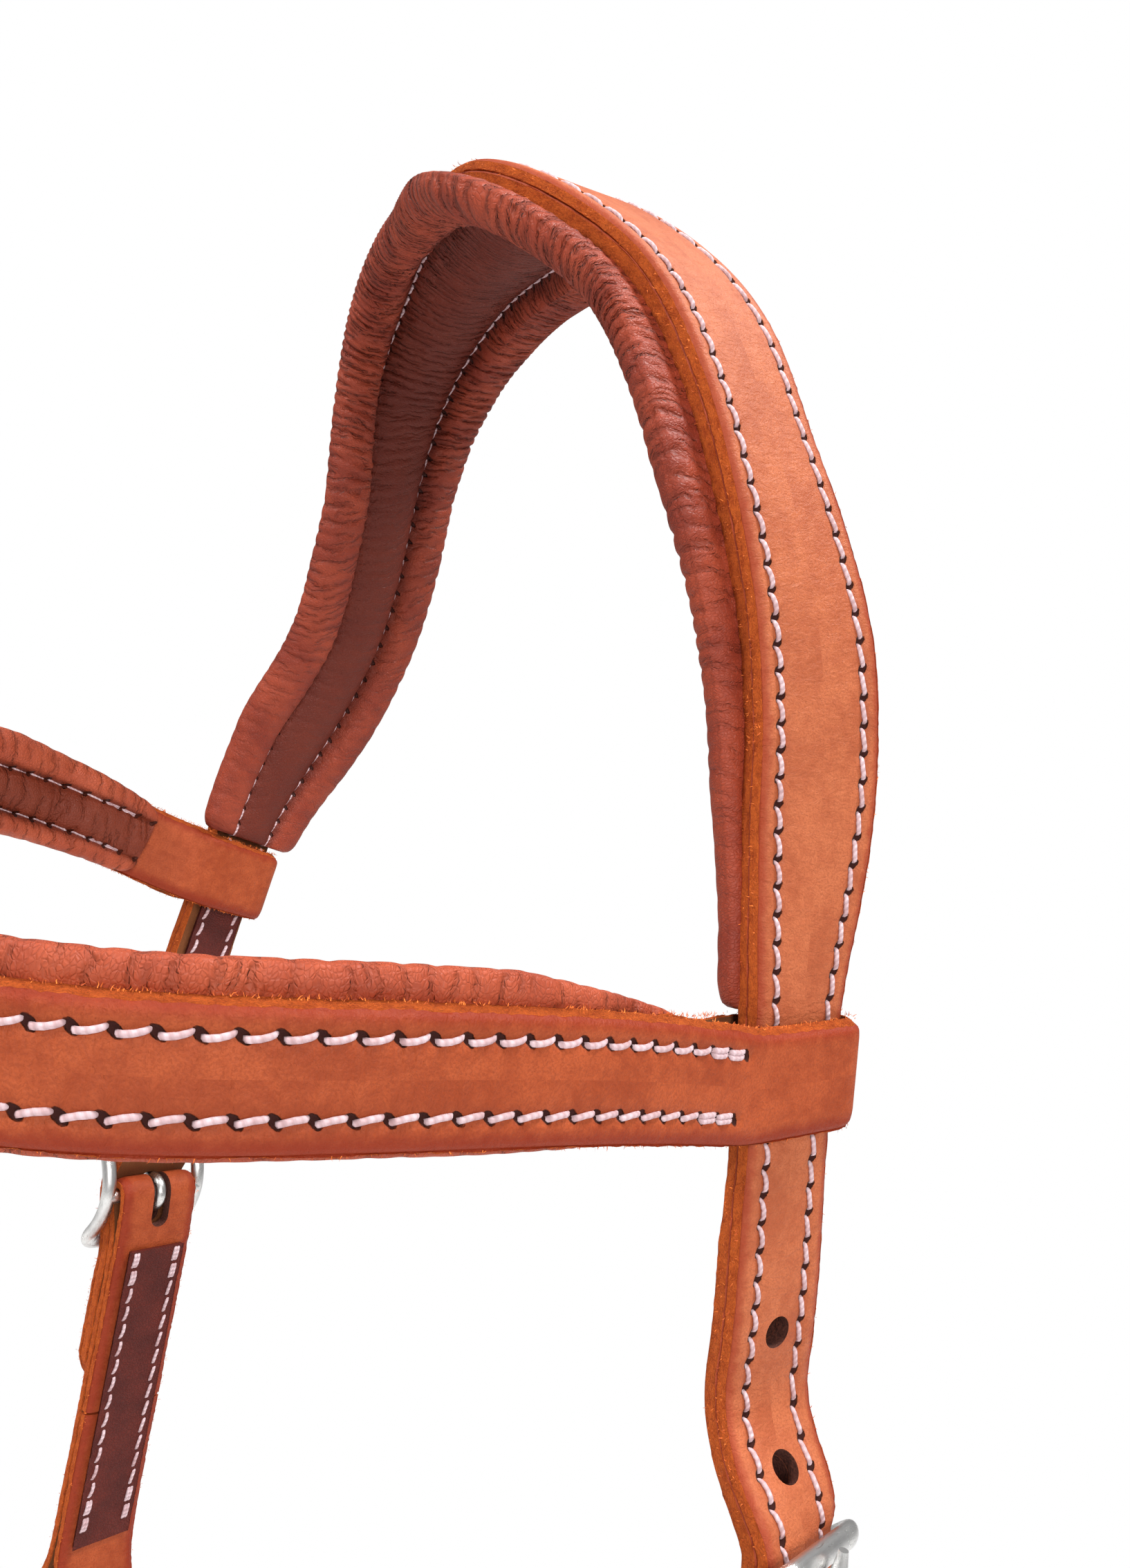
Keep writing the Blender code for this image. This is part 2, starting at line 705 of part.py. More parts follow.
def build_headpiece_pad(head, group, cutters, finishes):
    half_loop = BAND_WIDTH / 2 + BAND_CLEARANCE + PAD_LOOP_GAP
    first, last = head.loop["near"] + half_loop, head.loop["far"] - half_loop
    line = head.line.part(first, last)
    at = line.at + first
    share = head.share_to_loop(at)
    side = pad_sides(head, at)
    height = np.interp(share, PAD_HEIGHT_SHARES, [PAD_HEIGHT, PAD_HEIGHT, PAD_HEIGHT_AT_LOOP])
    rows, widths = head.rows(at), head.widths(at)
    sections = [
        pad_section(rows[k], (side[k], side[k]), height[k], PAD_SEAM, -PLY - GAP, widths[k])
        for k in range(len(at))
    ]
    pad = loft("headpiece_pad", line, sections, group, finishes["brown"])
    centre = np.array([0, 0, -CUT_OVERRUN / 2])
    axes = (np.array([1.0, 0, 0]), BACK, UP)
    sizes = (REST_LENGTH, REST_WIDTH, CUT_OVERRUN)
    boolean(pad, box_cutter("poll_flat", centre, axes, sizes, cutters))


def build_billet_lining(side, head, lap, group, finishes):
    """The thin dark lining inside a billet, from under the browband's loop to above the buckle."""
    toward = -1 if side == "near" else 1
    start = head.loop[side] - toward * BAND_WIDTH / 2
    end = head.bar[side] - toward * LINING_END_SHARE * BUCKLE_HALF_HEIGHT
    line = head.line.part(min(start, end), max(start, end))
    low = -PLY - GAP - LINING_THICKNESS
    high = low + LINING_THICKNESS
    strap(f"{side}_billet_lining", line, LINING_WIDTH, low, high, group, finishes["dark"])


class Browband:
    """The browband's middle line with its two turned loops."""

    def __init__(self, head):
        self.loops = {side: head.line.spot(head.loop[side]) for side in ("near", "far")}
        self.run = BAND_CLEARANCE + STRAP_THICKNESS / 2
        self.inside = PLY + GAP + LINING_THICKNESS + self.run
        self.edge = BILLET_WIDTH / 2 + self.run
        knots = [self.loop_place("near", -self.edge, self.run)]
        knots += [place(shares) for shares in BAND_SHARES]
        knots.append(self.loop_place("far", -self.edge, self.run))
        self.main_points, places = spline(knots, BAND_STATIONS)
        near_up, far_up = self.loops["near"][1], -self.loops["far"][1]
        share = (places / places[-1])[:, None]
        self.near_up, self.far_up = near_up, far_up
        self.guide = near_up + (far_up - near_up) * share
        self.main = Ribbon(self.main_points, self.guide)

    def loop_place(self, side, across, out):
        point, along, side_way, face = self.loops[side]
        return point + across * side_way + out * face

    def loop_points(self, side):
        """From beside the band's start, over the outside, round the back edge and back inside."""
        corner = self.run + STRAP_THICKNESS / 2
        back = self.edge - corner
        outside = [(-LOOP_START_SHARE * self.edge, self.run), (0, self.run), (back, self.run)]
        high, low = self.run - corner, -self.inside + corner
        turns = [math.radians(angle) for angle in LOOP_TURN_ANGLES]
        unders = [math.radians(angle) for angle in LOOP_UNDER_ANGLES]
        turn = [(back + corner * math.sin(a), high + corner * math.cos(a)) for a in turns]
        under = [(back + corner * math.cos(a), low - corner * math.sin(a)) for a in unders]
        inside = [(0, -self.inside), (-self.edge, -self.inside)]
        return [self.loop_place(side, *spot) for spot in (*outside, *turn, *under, *inside)]

    def tuck_points(self, side):
        """The sewn-down end inside the band, from the loop's side to its end."""
        main = self.main
        places = np.linspace(BAND_TUCK, BAND_TUCK + BAND_TUCK, 4)
        places = places if side == "near" else main.at[-1] - places
        depths = [STRAP_THICKNESS + GAP + TUCK_ENTRY] + [STRAP_THICKNESS + GAP] * 3
        return [main.spot(at, out=-depth)[0] for at, depth in zip(places, depths)]

    def line(self):
        near_loop, far_loop = self.loop_points("near"), self.loop_points("far")
        near_tuck, far_tuck = self.tuck_points("near"), self.tuck_points("far")
        before = [*near_tuck[::-1], *near_loop[::-1]]
        after = [*far_loop, *far_tuck]
        points = [*before, *self.main_points, *after]
        guides = [self.near_up] * len(before) + list(self.guide) + [self.far_up] * len(after)
        return Ribbon(points, np.array(guides))


def build_browband(band, group, finishes):
    half = STRAP_THICKNESS / 2
    strap("browband_strap", band.line(), BAND_WIDTH, -half, half, group, finishes["tan"])
    total = band.main.at[-1]
    start = BAND_TUCK * PAD_START_SHARE
    line = band.main.part(start, total - start)
    at = line.at + start
    from_end = np.minimum(at, total - at)
    lifted = [share * BAND_TUCK for share in LIFT_SHARES]
    lift = np.interp(from_end, lifted, [STRAP_THICKNESS + GAP + TUCK_ENTRY + GAP, 0.0])
    grown = [start, PAD_FULL_SHARE * BAND_TUCK]
    above = np.interp(from_end, grown, [BAND_PAD_SIDE_AT_LOOP, BAND_PAD_SIDE])
    below = np.interp(from_end, grown, [BAND_PAD_SIDE_AT_LOOP, BAND_PAD_SIDE_BELOW])
    height = np.interp(from_end, grown, [BAND_PAD_HEIGHT_AT_LOOP, BAND_PAD_HEIGHT])
    top = -half - GAP
    sections = [
        pad_section(BAND_ROWS, (below[k], above[k]), height[k], BAND_PAD_SEAM, top - lift[k], BAND_WIDTH)
        for k in range(len(at))
    ]
    loft("browband_pad", line, sections, group, finishes["brown"])


def folded_line(lap, length, fold):
    """A strap's middle line, folded round the buckle's centre bar and round the ring's wire."""
    inner, outer, middle = lap.inner_offset(), lap.chape_offset(), lap.middle_offset()
    straight = FOLD_RUN * fold
    end = length - straight
    before = [
        (length - run * straight, outer + (middle + fold - outer) * opened)
        for run, opened in OPENING_SHARES
    ]
    after = [
        (length - run * straight, inner + (middle - fold - inner) * opened)
        for run, opened in OPENING_SHARES
    ]
    turn = arc((length, middle), (0, 1), (1, 0), fold, 0, 180, 9).tolist()
    high = BUCKLE_HALF_HEIGHT
    first = CHAPE_SHARES[0] * high
    butt = first + BUTT_SHARE * (end - first)
    run = [(high + share * (end - high), outer) for share in RUN_SHARES]
    places = [*run, *before, *turn, *after[::-1], (end, inner), (butt + GAP, inner)]
    return Ribbon([*lap.line([(butt - GAP, inner)]), *lap.chape_line(), *lap.line(places)], lap.across)


def build_cheek(side, lap, group, cutters, finishes):
    """A cheekpiece folded round its buckle's bar above and its ring below, with its lining."""
    line = folded_line(lap, CHEEK_LENGTH, RING_FOLD)
    half = STRAP_THICKNESS / 2
    inner = lap.inner_offset()
    made = strap(f"{side}_cheek_strap", line, BILLET_WIDTH, -half, half, group, finishes["tan"])
    cut_slot(made, lap, cutters, f"{side}_tongue_slot")
    run = [LINING_TOP, *(share * CHEEK_LENGTH for share in LINING_MIDDLE_SHARES)]
    run.append(CHEEK_LENGTH - LINING_INSET)
    backed = Ribbon(lap.line([(down, inner - half - GAP) for down in run]), lap.across)
    sign = 1 if np.dot(backed.out[0], lap.out) > 0 else -1
    low, high = sorted((0, -sign * LINING_THICKNESS))
    strap(f"{side}_cheek_lining", backed, LINING_WIDTH, low, high, group, finishes["dark"])
    build_buckle(side, lap, group, cutters, finishes)


def build_ring(name, centre, axis, group, finish):
    bpy.ops.mesh.primitive_torus_add(
        major_segments=28, minor_segments=8, major_radius=RING_RADIUS, minor_radius=RING_WIRE
    )
    ring = bpy.context.object
    ring.name = name
    for old in list(ring.users_collection):
        old.objects.unlink(ring)
    group.objects.link(ring)
    first = unit(np.cross(axis, BACK))
    ring.matrix_world = basis(first, np.cross(axis, first), axis, centre)
    ring.data.materials.append(finish)
    ring.data.shade_smooth()
    return ring


class Sling:
    """A strap slung between the two rings in a plane that turns about their shared axis."""

    def __init__(self, rings, away, reach):
        self.near, self.far = rings["near"], rings["far"]
        self.side = unit(self.near - self.far)
        self.middle = (self.near + self.far) / 2
        self.half = np.linalg.norm(self.near - self.far) / 2
        self.away = unit(away - np.dot(away, self.side) * self.side)
        self.reach = reach
        self.up = np.cross(self.side, self.away)
        self.fold = RING_FOLD

    def at(self, side, away):
        return self.middle + side * self.side + away * self.away

    def shares(self, side, away):
        start = RING_RADIUS
        return self.at(side * self.half, start + away * self.reach)

    def fold_points(self, sign, leg, lift=0.0):
        """The inner leg, then half a turn round the ring's wire, ending on the outside."""
        side, away = sign * self.half, RING_RADIUS
        fold = self.fold + lift
        rest = sign * (self.fold - STRAP_THICKNESS - GAP - lift)
        turn = arc((side, away), (-sign, 0), (0, -1), fold, 0, 180, 9).tolist()
        legs = [away + share * leg for share in FOLD_LEG_SHARES]
        inside = [(side + rest, legs[0]), (side + rest, legs[1])]
        inside.append((side - sign * FOLD_REST_SHARE * self.fold, legs[2]))
        return [self.at(*spot) for spot in (*inside, *turn)]


def build_noseband(rings, down, group, finishes):
    """The noseband, folded round both rings, and its pad."""
    droop = math.radians(NOSE_DROOP)
    forward = -BACK * math.cos(droop) + down * math.sin(droop)
    sling = Sling(rings, forward, NOSE_REACH)
    outside = sling.half + sling.fold
    legs = [(outside, RING_RADIUS + share * NOSE_FOLD) for share in LEG_SHARES]
    bulge = [
        (side * sling.half, RING_RADIUS + away * NOSE_REACH) for side, away in NOSE_BULGE_SHARES
    ]
    half_line = legs + bulge
    knots = [sling.at(*spot) for spot in half_line]
    knots.append(sling.at(0, RING_RADIUS + NOSE_REACH))
    knots += [sling.at(-side, away) for side, away in reversed(half_line)]
    main, places = spline(knots, NOSE_STATIONS)
    near = sling.fold_points(1, NOSE_FOLD)
    far = sling.fold_points(-1, NOSE_FOLD)
    guide = -sling.up
    line = Ribbon([*near[:-1], *main, *far[:-1][::-1]], guide)
    half = STRAP_THICKNESS / 2
    outer = strap("noseband_strap", line, NOSE_WIDTH, -half, half, group, finishes["tan"])
    whole = Ribbon(main, guide)
    total = whole.at[-1]
    backing = noseband_backing(whole, total, group, finishes)
    start = NOSE_PAD_START_SHARE * NOSE_FOLD
    part = whole.part(start, total - start)
    at = part.at + start
    from_end = np.minimum(at, total - at)
    lift = STRAP_THICKNESS + 2 * GAP
    grown = [start, NOSE_PAD_FULL_SHARE * NOSE_FOLD]
    side = np.interp(from_end, grown, [NOSE_PAD_SIDE_AT_RING, NOSE_PAD_SIDE])
    height = np.interp(from_end, grown, [NOSE_PAD_HEIGHT_AT_RING, NOSE_PAD_HEIGHT])
    sections = [
        pad_section(NOSE_ROWS, (side[k], side[k]), height[k], PAD_SEAM, -half - GAP - lift, NOSE_WIDTH)
        for k in range(len(at))
    ]
    pad = loft("noseband_pad", part, sections, group, finishes["brown"])
    for piece in (outer, backing, pad):
        move_origin(piece, sling.middle)


def noseband_backing(whole, total, group, finishes):
    """The noseband's second ply, between the ends of its folds."""
    start = BACKING_START * NOSE_FOLD
    part = whole.part(start, total - start)
    top = -STRAP_THICKNESS / 2 - GAP
    low = top - BACKING_THICKNESS
    return strap("noseband_backing", part, NOSE_WIDTH, low, top, group, finishes["tan"])


def hang_jaw(rings, down):
    """The jaw strap's plane, and where its billet is buckled below the near ring."""
    droop = math.radians(JAW_DROOP)
    away = BACK * math.cos(droop) + down * math.sin(droop)
    sling = Sling(rings, away, JAW_REACH)
    tilt = math.radians(JAW_TILT)
    toward_ring = sling.side * math.sin(tilt) - sling.away * math.cos(tilt)
    out = np.cross(sling.up, toward_ring)
    lap = Lap([0, 0, 0], toward_ring, out, JAW_WIDTH, STRAP_THICKNESS, JAW_PAST_BUCKLE)
    wire_middle = rings["near"] + RING_RADIUS * sling.away
    lap.centre = wire_middle - JAW_CHAPE_LENGTH * lap.down - lap.middle_offset() * lap.out
    return sling, lap


def build_jaw(sling, lap, group, cutters, finishes):
    """The jaw strap: a short piece with the buckle on the near ring, and a long billet from the far ring."""
    line = folded_line(lap, JAW_CHAPE_LENGTH, RING_FOLD)
    half = STRAP_THICKNESS / 2
    chape = strap("jaw_buckle_strap", line, JAW_WIDTH, -half, half, group, finishes["tan"])
    cut_slot(chape, lap, cutters, "jaw_tongue_slot")
    billet = build_jaw_billet(sling, lap, group, cutters, finishes)
    for piece in (chape, billet):
        move_origin(piece, sling.middle)
    build_buckle("jaw", lap, group, cutters, finishes)


def build_jaw_billet(sling, lap, group, cutters, finishes):
    face = STRAP_THICKNESS / 2
    folded = sling.fold_points(-1, JAW_FOLD, face)
    outside = -(sling.half + sling.fold + face)
    legs = [sling.at(outside, RING_RADIUS + share * JAW_FOLD) for share in LEG_SHARES[1:]]
    wave = lap.billet_line()
    bulge = [sling.shares(*spot) for spot in JAW_BULGE_SHARES]
    knots = np.array([folded[-1], *legs, *bulge, *wave])
    at = lengths(knots)
    last = at[-len(wave)]
    parts = steps_between(0, last, UPPER_STATION)[:-1], steps_between(last, at[-1], LAP_STATION)
    places = np.concatenate(parts)
    points = spline(knots, places)[0]
    line = Ribbon([*folded[:-1], *points], sling.up)
    from_tip = line.at[-1] - line.at
    widths = JAW_WIDTH * np.interp(from_tip, np.linspace(0, TIP_LENGTH, len(TIP_SHARES)), TIP_SHARES)
    billet = strap("jaw_billet", line, widths, -STRAP_THICKNESS, 0, group, finishes["tan"])
    cut_tongue_hole(billet, lap, cutters, "jaw_hole_in_use")
    used = line.at[-1] - lap.past - HOLE_FROM_BARS * BUCKLE_HALF_HEIGHT
    for k in JAW_SPARE_HOLES:
        point, along, across, out = line.spot(used - k * HOLE_PITCH)
        label = f"jaw_spare_hole_{k + 1}"
        cutter = round_cutter(label, point, out, HOLE_RADIUS, PUNCH_DEPTH, cutters)
        boolean(billet, cutter)
    return billet


def hang_cheeks():
    """Where the two billets are buckled, the way from far to near, and the way down."""
    near, far = place(NEAR_BUCKLE_SHARES), place(FAR_BUCKLE_SHARES)
    side = unit(near - far)
    lean = -UP - CHEEK_FORWARD_SHARE * BACK
    down = unit(lean - np.dot(lean, side) * side)
    laps = {
        "near": Lap(near, down, side, BILLET_WIDTH, PLY, BILLET_PAST_BUCKLE),
        "far": Lap(far, down, -side, BILLET_WIDTH, PLY, BILLET_PAST_BUCKLE),
    }
    rings = {
        name: lap.at(CHEEK_LENGTH + RING_RADIUS, lap.middle_offset()) for name, lap in laps.items()
    }
    return laps, rings, side, down


def build():
    clear_scene()
    group = collection("sidepull_bridle")
    cutters = collection("cutters")
    finishes = {
        "tan": material("tan_leather", LEATHER_TAN, TAN_ROUGHNESS),
        "brown": material("brown_pad_leather", LEATHER_BROWN, BROWN_ROUGHNESS),
        "dark": material("dark_lining_leather", LEATHER_DARK, DARK_ROUGHNESS),
        "metal": material("nickel_plate", METAL, METAL_ROUGHNESS, 1.0),
    }
    laps, rings, side, down = hang_cheeks()
    head = Headpiece(laps)
    build_headpiece(head, laps, group, cutters, finishes)
    build_browband(Browband(head), group, finishes)
    for name, lap in laps.items():
        build_cheek(name, lap, group, cutters, finishes)
        build_ring(f"{name}_side_ring", rings[name], side, group, finishes["metal"])
    build_noseband(rings, down, group, finishes)
    sling, jaw_lap = hang_jaw(rings, down)
    build_jaw(sling, jaw_lap, group, cutters, finishes)


build()
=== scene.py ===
"""The look of the padded leather sidepull bridle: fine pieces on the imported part's frame."""

import math

import bmesh
import bpy
import numpy as np
from mathutils import Matrix, Vector


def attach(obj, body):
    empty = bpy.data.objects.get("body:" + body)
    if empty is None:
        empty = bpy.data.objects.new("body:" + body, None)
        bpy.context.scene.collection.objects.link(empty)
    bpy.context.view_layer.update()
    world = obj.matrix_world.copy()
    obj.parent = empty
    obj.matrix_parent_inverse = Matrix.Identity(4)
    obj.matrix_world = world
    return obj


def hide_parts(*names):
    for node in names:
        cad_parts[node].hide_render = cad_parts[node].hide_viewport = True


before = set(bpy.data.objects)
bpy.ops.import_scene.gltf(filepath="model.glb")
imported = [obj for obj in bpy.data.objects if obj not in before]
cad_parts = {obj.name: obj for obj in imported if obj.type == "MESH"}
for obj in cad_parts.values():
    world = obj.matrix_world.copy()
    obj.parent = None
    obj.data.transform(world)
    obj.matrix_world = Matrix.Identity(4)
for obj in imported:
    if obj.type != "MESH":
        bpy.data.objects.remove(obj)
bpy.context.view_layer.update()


# Sizes of the part, which the finer pieces here follow
HALF_SPAN = 0.081
DROP = 0.140
CUT_OVERRUN = 0.004
GAP = 0.0003
LAP_GAP = 0.0005
STRAP_THICKNESS = 0.0024
BACKING_THICKNESS = 0.0018
LINING_THICKNESS = 0.0008
WIDTH_SHARES = (0.0, 0.45, 0.78, 1.0)
BILLET_WIDTH = 0.019
CROWN_WIDTH = 0.0235
POLL_WIDTH = 0.0305
LINING_WIDTH = 0.0140
TIP_LENGTH = 0.010
TIP_SHARES = (0.25, 0.62, 0.86, 1.0)
PUNCH_DEPTH = 0.024
NEAR_SHARES = (
    (0.302, -0.166, -0.030, 24),
    (0.586, -0.069, -0.117, 10),
    (0.816, 0.020, -0.318, 8),
    (0.960, 0.101, -0.554, 18),
    (1.010, 0.136, -0.787, 17),
    (1.033, 0.139, -0.950, 9),
)
FAR_SHARES = (
    (-0.309, 0.124, -0.005, -25),
    (-0.609, 0.207, -0.121, 4),
    (-0.755, 0.246, -0.324, 14),
    (-0.920, 0.308, -0.577, 11),
    (-1.019, 0.235, -0.766, 8),
    (-1.065, 0.151, -0.938, 15),
)
STRAIGHT_SHARES = (0.14, 0.5, 0.86, 1.0)
NEAR_BEND_SHARES = (1.078, 0.186, -1.387)
FAR_BEND_SHARES = (-1.054, -0.010, -1.371)
LOOP_KNOT = 5
UPPER_STATION = 0.0008
LAP_STATION = 0.0007
POLL_ROWS = 0.021
CROWN_ROWS = 0.0165
BILLET_ROWS = 0.0106
PAD_SIDE = 0.0120
PAD_SIDE_AT_LOOP = 0.0095
NEAR_PAD_SIDE_AT_LOOP = 0.0055
PAD_HEIGHT = 0.0062
PAD_HEIGHT_AT_LOOP = 0.0034
PAD_SEAM = 0.0016
PAD_LOOP_GAP = 0.0012
PAD_SIDE_SHARES = (0.0, 0.75, 1.0)
NEAR_PAD_SIDE_SHARES = (0.0, 0.48, 0.88)
PAD_HEIGHT_SHARES = (0.0, 0.75, 0.97)
REST_DEPTH = 0.0005
BAND_WIDTH = 0.017
BAND_ROWS = 0.0091
BAND_CLEARANCE = 0.0010
BAND_TUCK = 0.012
TUCK_ENTRY = 0.0007
PAD_START_SHARE = 1.05
LIFT_SHARES = (2.25, 3.0)
PAD_FULL_SHARE = 4.0
LOOP_START_SHARE = 0.6
LOOP_TURN_ANGLES = (29, 57, 90)
LOOP_UNDER_ANGLES = (0, 32, 60, 90)
LINING_END_SHARE = 0.6
BAND_LOOP_DEPTH = 0.0106
BAND_PAD_SIDE = 0.0090
BAND_PAD_SIDE_BELOW = 0.0052
BAND_PAD_SIDE_AT_LOOP = 0.0042
BAND_PAD_HEIGHT = 0.0048
BAND_PAD_HEIGHT_AT_LOOP = 0.0028
BAND_PAD_SEAM = 0.0014
BAND_SHARES = (
    (1.049, -0.308, -1.008),
    (0.962, -0.841, -0.998),
    (0.700, -1.270, -1.008),
    (0.370, -1.490, -0.991),
    (0.0, -1.565, -0.961),
    (-0.370, -1.490, -0.926),
    (-0.700, -1.270, -0.902),
    (-0.990, -0.840, -0.889),
    (-1.065, -0.307, -0.947),
)
BAND_STATIONS = 440
BAR_RADIUS = 0.0016
BUCKLE_HALF_HEIGHT = 0.0135
BUCKLE_BOW = 0.0076
BUCKLE_SIDE_GAP = 0.0007
BUCKLE_CORNER = 0.0040
BAR_SHARE = 0.98
TONGUE_RADIUS = 0.0013
TONGUE_OVERHANG = 0.0026
EYE_TURN = 262
SLOT_WIDTH = 0.0044
SLOT_BELOW_BAR = 0.0068
HOLE_RADIUS = 0.0025
HOLE_PITCH = 0.0200
HOLE_SHARE = 0.42
HOLE_REACH_SHARE = 1.1
HOLE_BEYOND_BAR = 0.0095
HOLES_ABOVE = 2
HOLES_BELOW = 1
JAW_SPARE_HOLES = (-1, 1, 2)
BILLET_PAST_BUCKLE = 0.034
JAW_PAST_BUCKLE = 0.018
HOLE_FROM_BARS = 1.5
TAIL_SHARES = (0.25, 0.5, 0.75, 1.0)
CHAPE_SHARES = (1.3, 1.0, 0.7, 0.35)
CHAPE_LIMIT_SHARE = 0.98
NEAR_BUCKLE_SHARES = (1.153, 0.138, -1.589)
FAR_BUCKLE_SHARES = (-0.966, 0.016, -1.573)
CHEEK_FORWARD_SHARE = 0.03
CHEEK_LENGTH = 0.098
LINING_TOP = 0.0115
LINING_INSET = 0.0155
CHAPE_FALL = 0.7
FOLD_RUN = 2.6
BUTT_SHARE = 0.5
RUN_SHARES = (0.5, 1.0)
OPENING_SHARES = ((0.55, 0.35), (0.25, 0.85))
RING_RADIUS = 0.0275
RING_WIRE = 0.00225
RING_PLAY = 0.0024
NOSE_DROOP = 35
NOSE_REACH = 0.115
NOSE_WIDTH = 0.0190
NOSE_ROWS = 0.0120
NOSE_PAD_SIDE = 0.0095
NOSE_PAD_SIDE_AT_RING = 0.0033
NOSE_PAD_HEIGHT = 0.0055
NOSE_PAD_HEIGHT_AT_RING = 0.0022
NOSE_PAD_START_SHARE = 0.8
NOSE_PAD_FULL_SHARE = 2.2
NOSE_BULGE_SHARES = ((0.98, 0.50), (0.72, 0.82), (0.38, 0.965))
NOSE_STATIONS = 330
NOSE_FOLD = 0.024
JAW_DROOP = 48
JAW_REACH = 0.088
JAW_TILT = 16
JAW_CHAPE_LENGTH = 0.052
JAW_FOLD = 0.022
LEG_SHARES = (0.0, 0.45, 0.8, 1.1)
FOLD_LEG_SHARES = (1.0, 0.8, 0.45)
FOLD_REST_SHARE = 0.35
BACKING_START = 1.15
JAW_WIDTH = 0.016
JAW_BULGE_SHARES = (
    (-0.98, 0.50),
    (-0.74, 0.80),
    (-0.30, 0.98),
    (0.20, 0.99),
    (0.58, 0.90),
)
PLY = STRAP_THICKNESS + GAP + BACKING_THICKNESS
RING_FOLD = RING_WIRE + RING_PLAY + STRAP_THICKNESS / 2
CROWN_TOP = PLY + GAP + PAD_HEIGHT - REST_DEPTH
UP = np.array([0.0, 0.0, 1.0])
BACK = np.array([0.0, 1.0, 0.0])


def unit(vector):
    return vector / np.linalg.norm(vector, axis=-1, keepdims=True)


def place(shares):
    """A point given by its side, back and height shares."""
    side, back, height = shares[:3]
    return np.array([side * HALF_SPAN, back * HALF_SPAN, CROWN_TOP + height * DROP])


def spline(knots, count):
    """Points on the natural cubic through the knots, at a number of even places or at the places given."""
    knots = np.array(knots, float)
    steps = np.linalg.norm(np.diff(knots[:, :3], axis=0), axis=1)
    at = np.concatenate([[0], np.cumsum(steps)])
    size = len(knots)
    system = np.eye(size)
    right = np.zeros_like(knots)
    for i in range(1, size - 1):
        system[i, i - 1: i + 2] = steps[i - 1], 2 * (steps[i - 1] + steps[i]), steps[i]
        slopes = (knots[i + 1] - knots[i]) / steps[i] - (knots[i] - knots[i - 1]) / steps[i - 1]
        right[i] = 6 * slopes
    bend = np.linalg.solve(system, right)
    places = np.linspace(0, at[-1], count) if np.isscalar(count) else np.array(count)
    span = np.clip(np.searchsorted(at, places, side="right") - 1, 0, size - 2)
    step = steps[span][:, None]
    after = (places - at[span])[:, None]
    before = step - after
    curve = (bend[span] * before**3 + bend[span + 1] * after**3) / (6 * step)
    curve += (knots[span] / step - bend[span] * step / 6) * before
    curve += (knots[span + 1] / step - bend[span + 1] * step / 6) * after
    return curve, places


def steps_between(first, last, step):
    """Even places from first to last, about a step apart."""
    return np.linspace(first, last, max(2, round((last - first) / step) + 1))


def lengths(points):
    """How far along the line each point is."""
    return np.concatenate([[0], np.cumsum(np.linalg.norm(np.diff(points, axis=0), axis=1))])


class Ribbon:
    """A line with, at each point, its direction, the way across it and the way out of its face."""

    def __init__(self, points, guide):
        self.points = np.array(points, float)
        sections = unit(np.diff(self.points, axis=0))
        ends = np.concatenate([sections[:1], sections]), np.concatenate([sections, sections[-1:]])
        self.along = unit(ends[0] + ends[1])
        guide = np.broadcast_to(guide, self.points.shape)
        self.across = unit(guide - (guide * self.along).sum(1)[:, None] * self.along)
        self.out = np.cross(self.across, self.along)
        self.at = lengths(self.points)

    def part(self, first, last):
        """The ribbon between two places along it, with its own points there."""
        keep = (self.at > first + GAP) & (self.at < last - GAP)
        at = np.concatenate([[first], self.at[keep], [last]])
        points = np.stack([np.interp(at, self.at, self.points[:, k]) for k in range(3)], axis=1)
        guide = np.stack([np.interp(at, self.at, self.across[:, k]) for k in range(3)], axis=1)
        return Ribbon(points, guide)

    def spot(self, at, across=0.0, out=0.0):
        """A point of the ribbon, with the three directions there."""
        point, along, side, face = (
            np.array([np.interp(at, self.at, values[:, k]) for k in range(3)])
            for values in (self.points, self.along, self.across, self.out)
        )
        return point + across * side + out * face, unit(along), unit(side), unit(face)


def basis(x_axis, y_axis, z_axis, origin):
    """A matrix from three directions and a place."""
    matrix = np.eye(4)
    matrix[:3, 0], matrix[:3, 1], matrix[:3, 2], matrix[:3, 3] = x_axis, y_axis, z_axis, origin
    return Matrix(matrix.tolist())


def arc(centre, first, second, radius, start, end, count):
    """Points round a centre, from one angle in degrees to another, turning from first to second."""
    angles = np.radians(np.linspace(start, end, count))
    turn = np.outer(np.cos(angles), first) + np.outer(np.sin(angles), second)
    return np.array(centre) + radius * turn


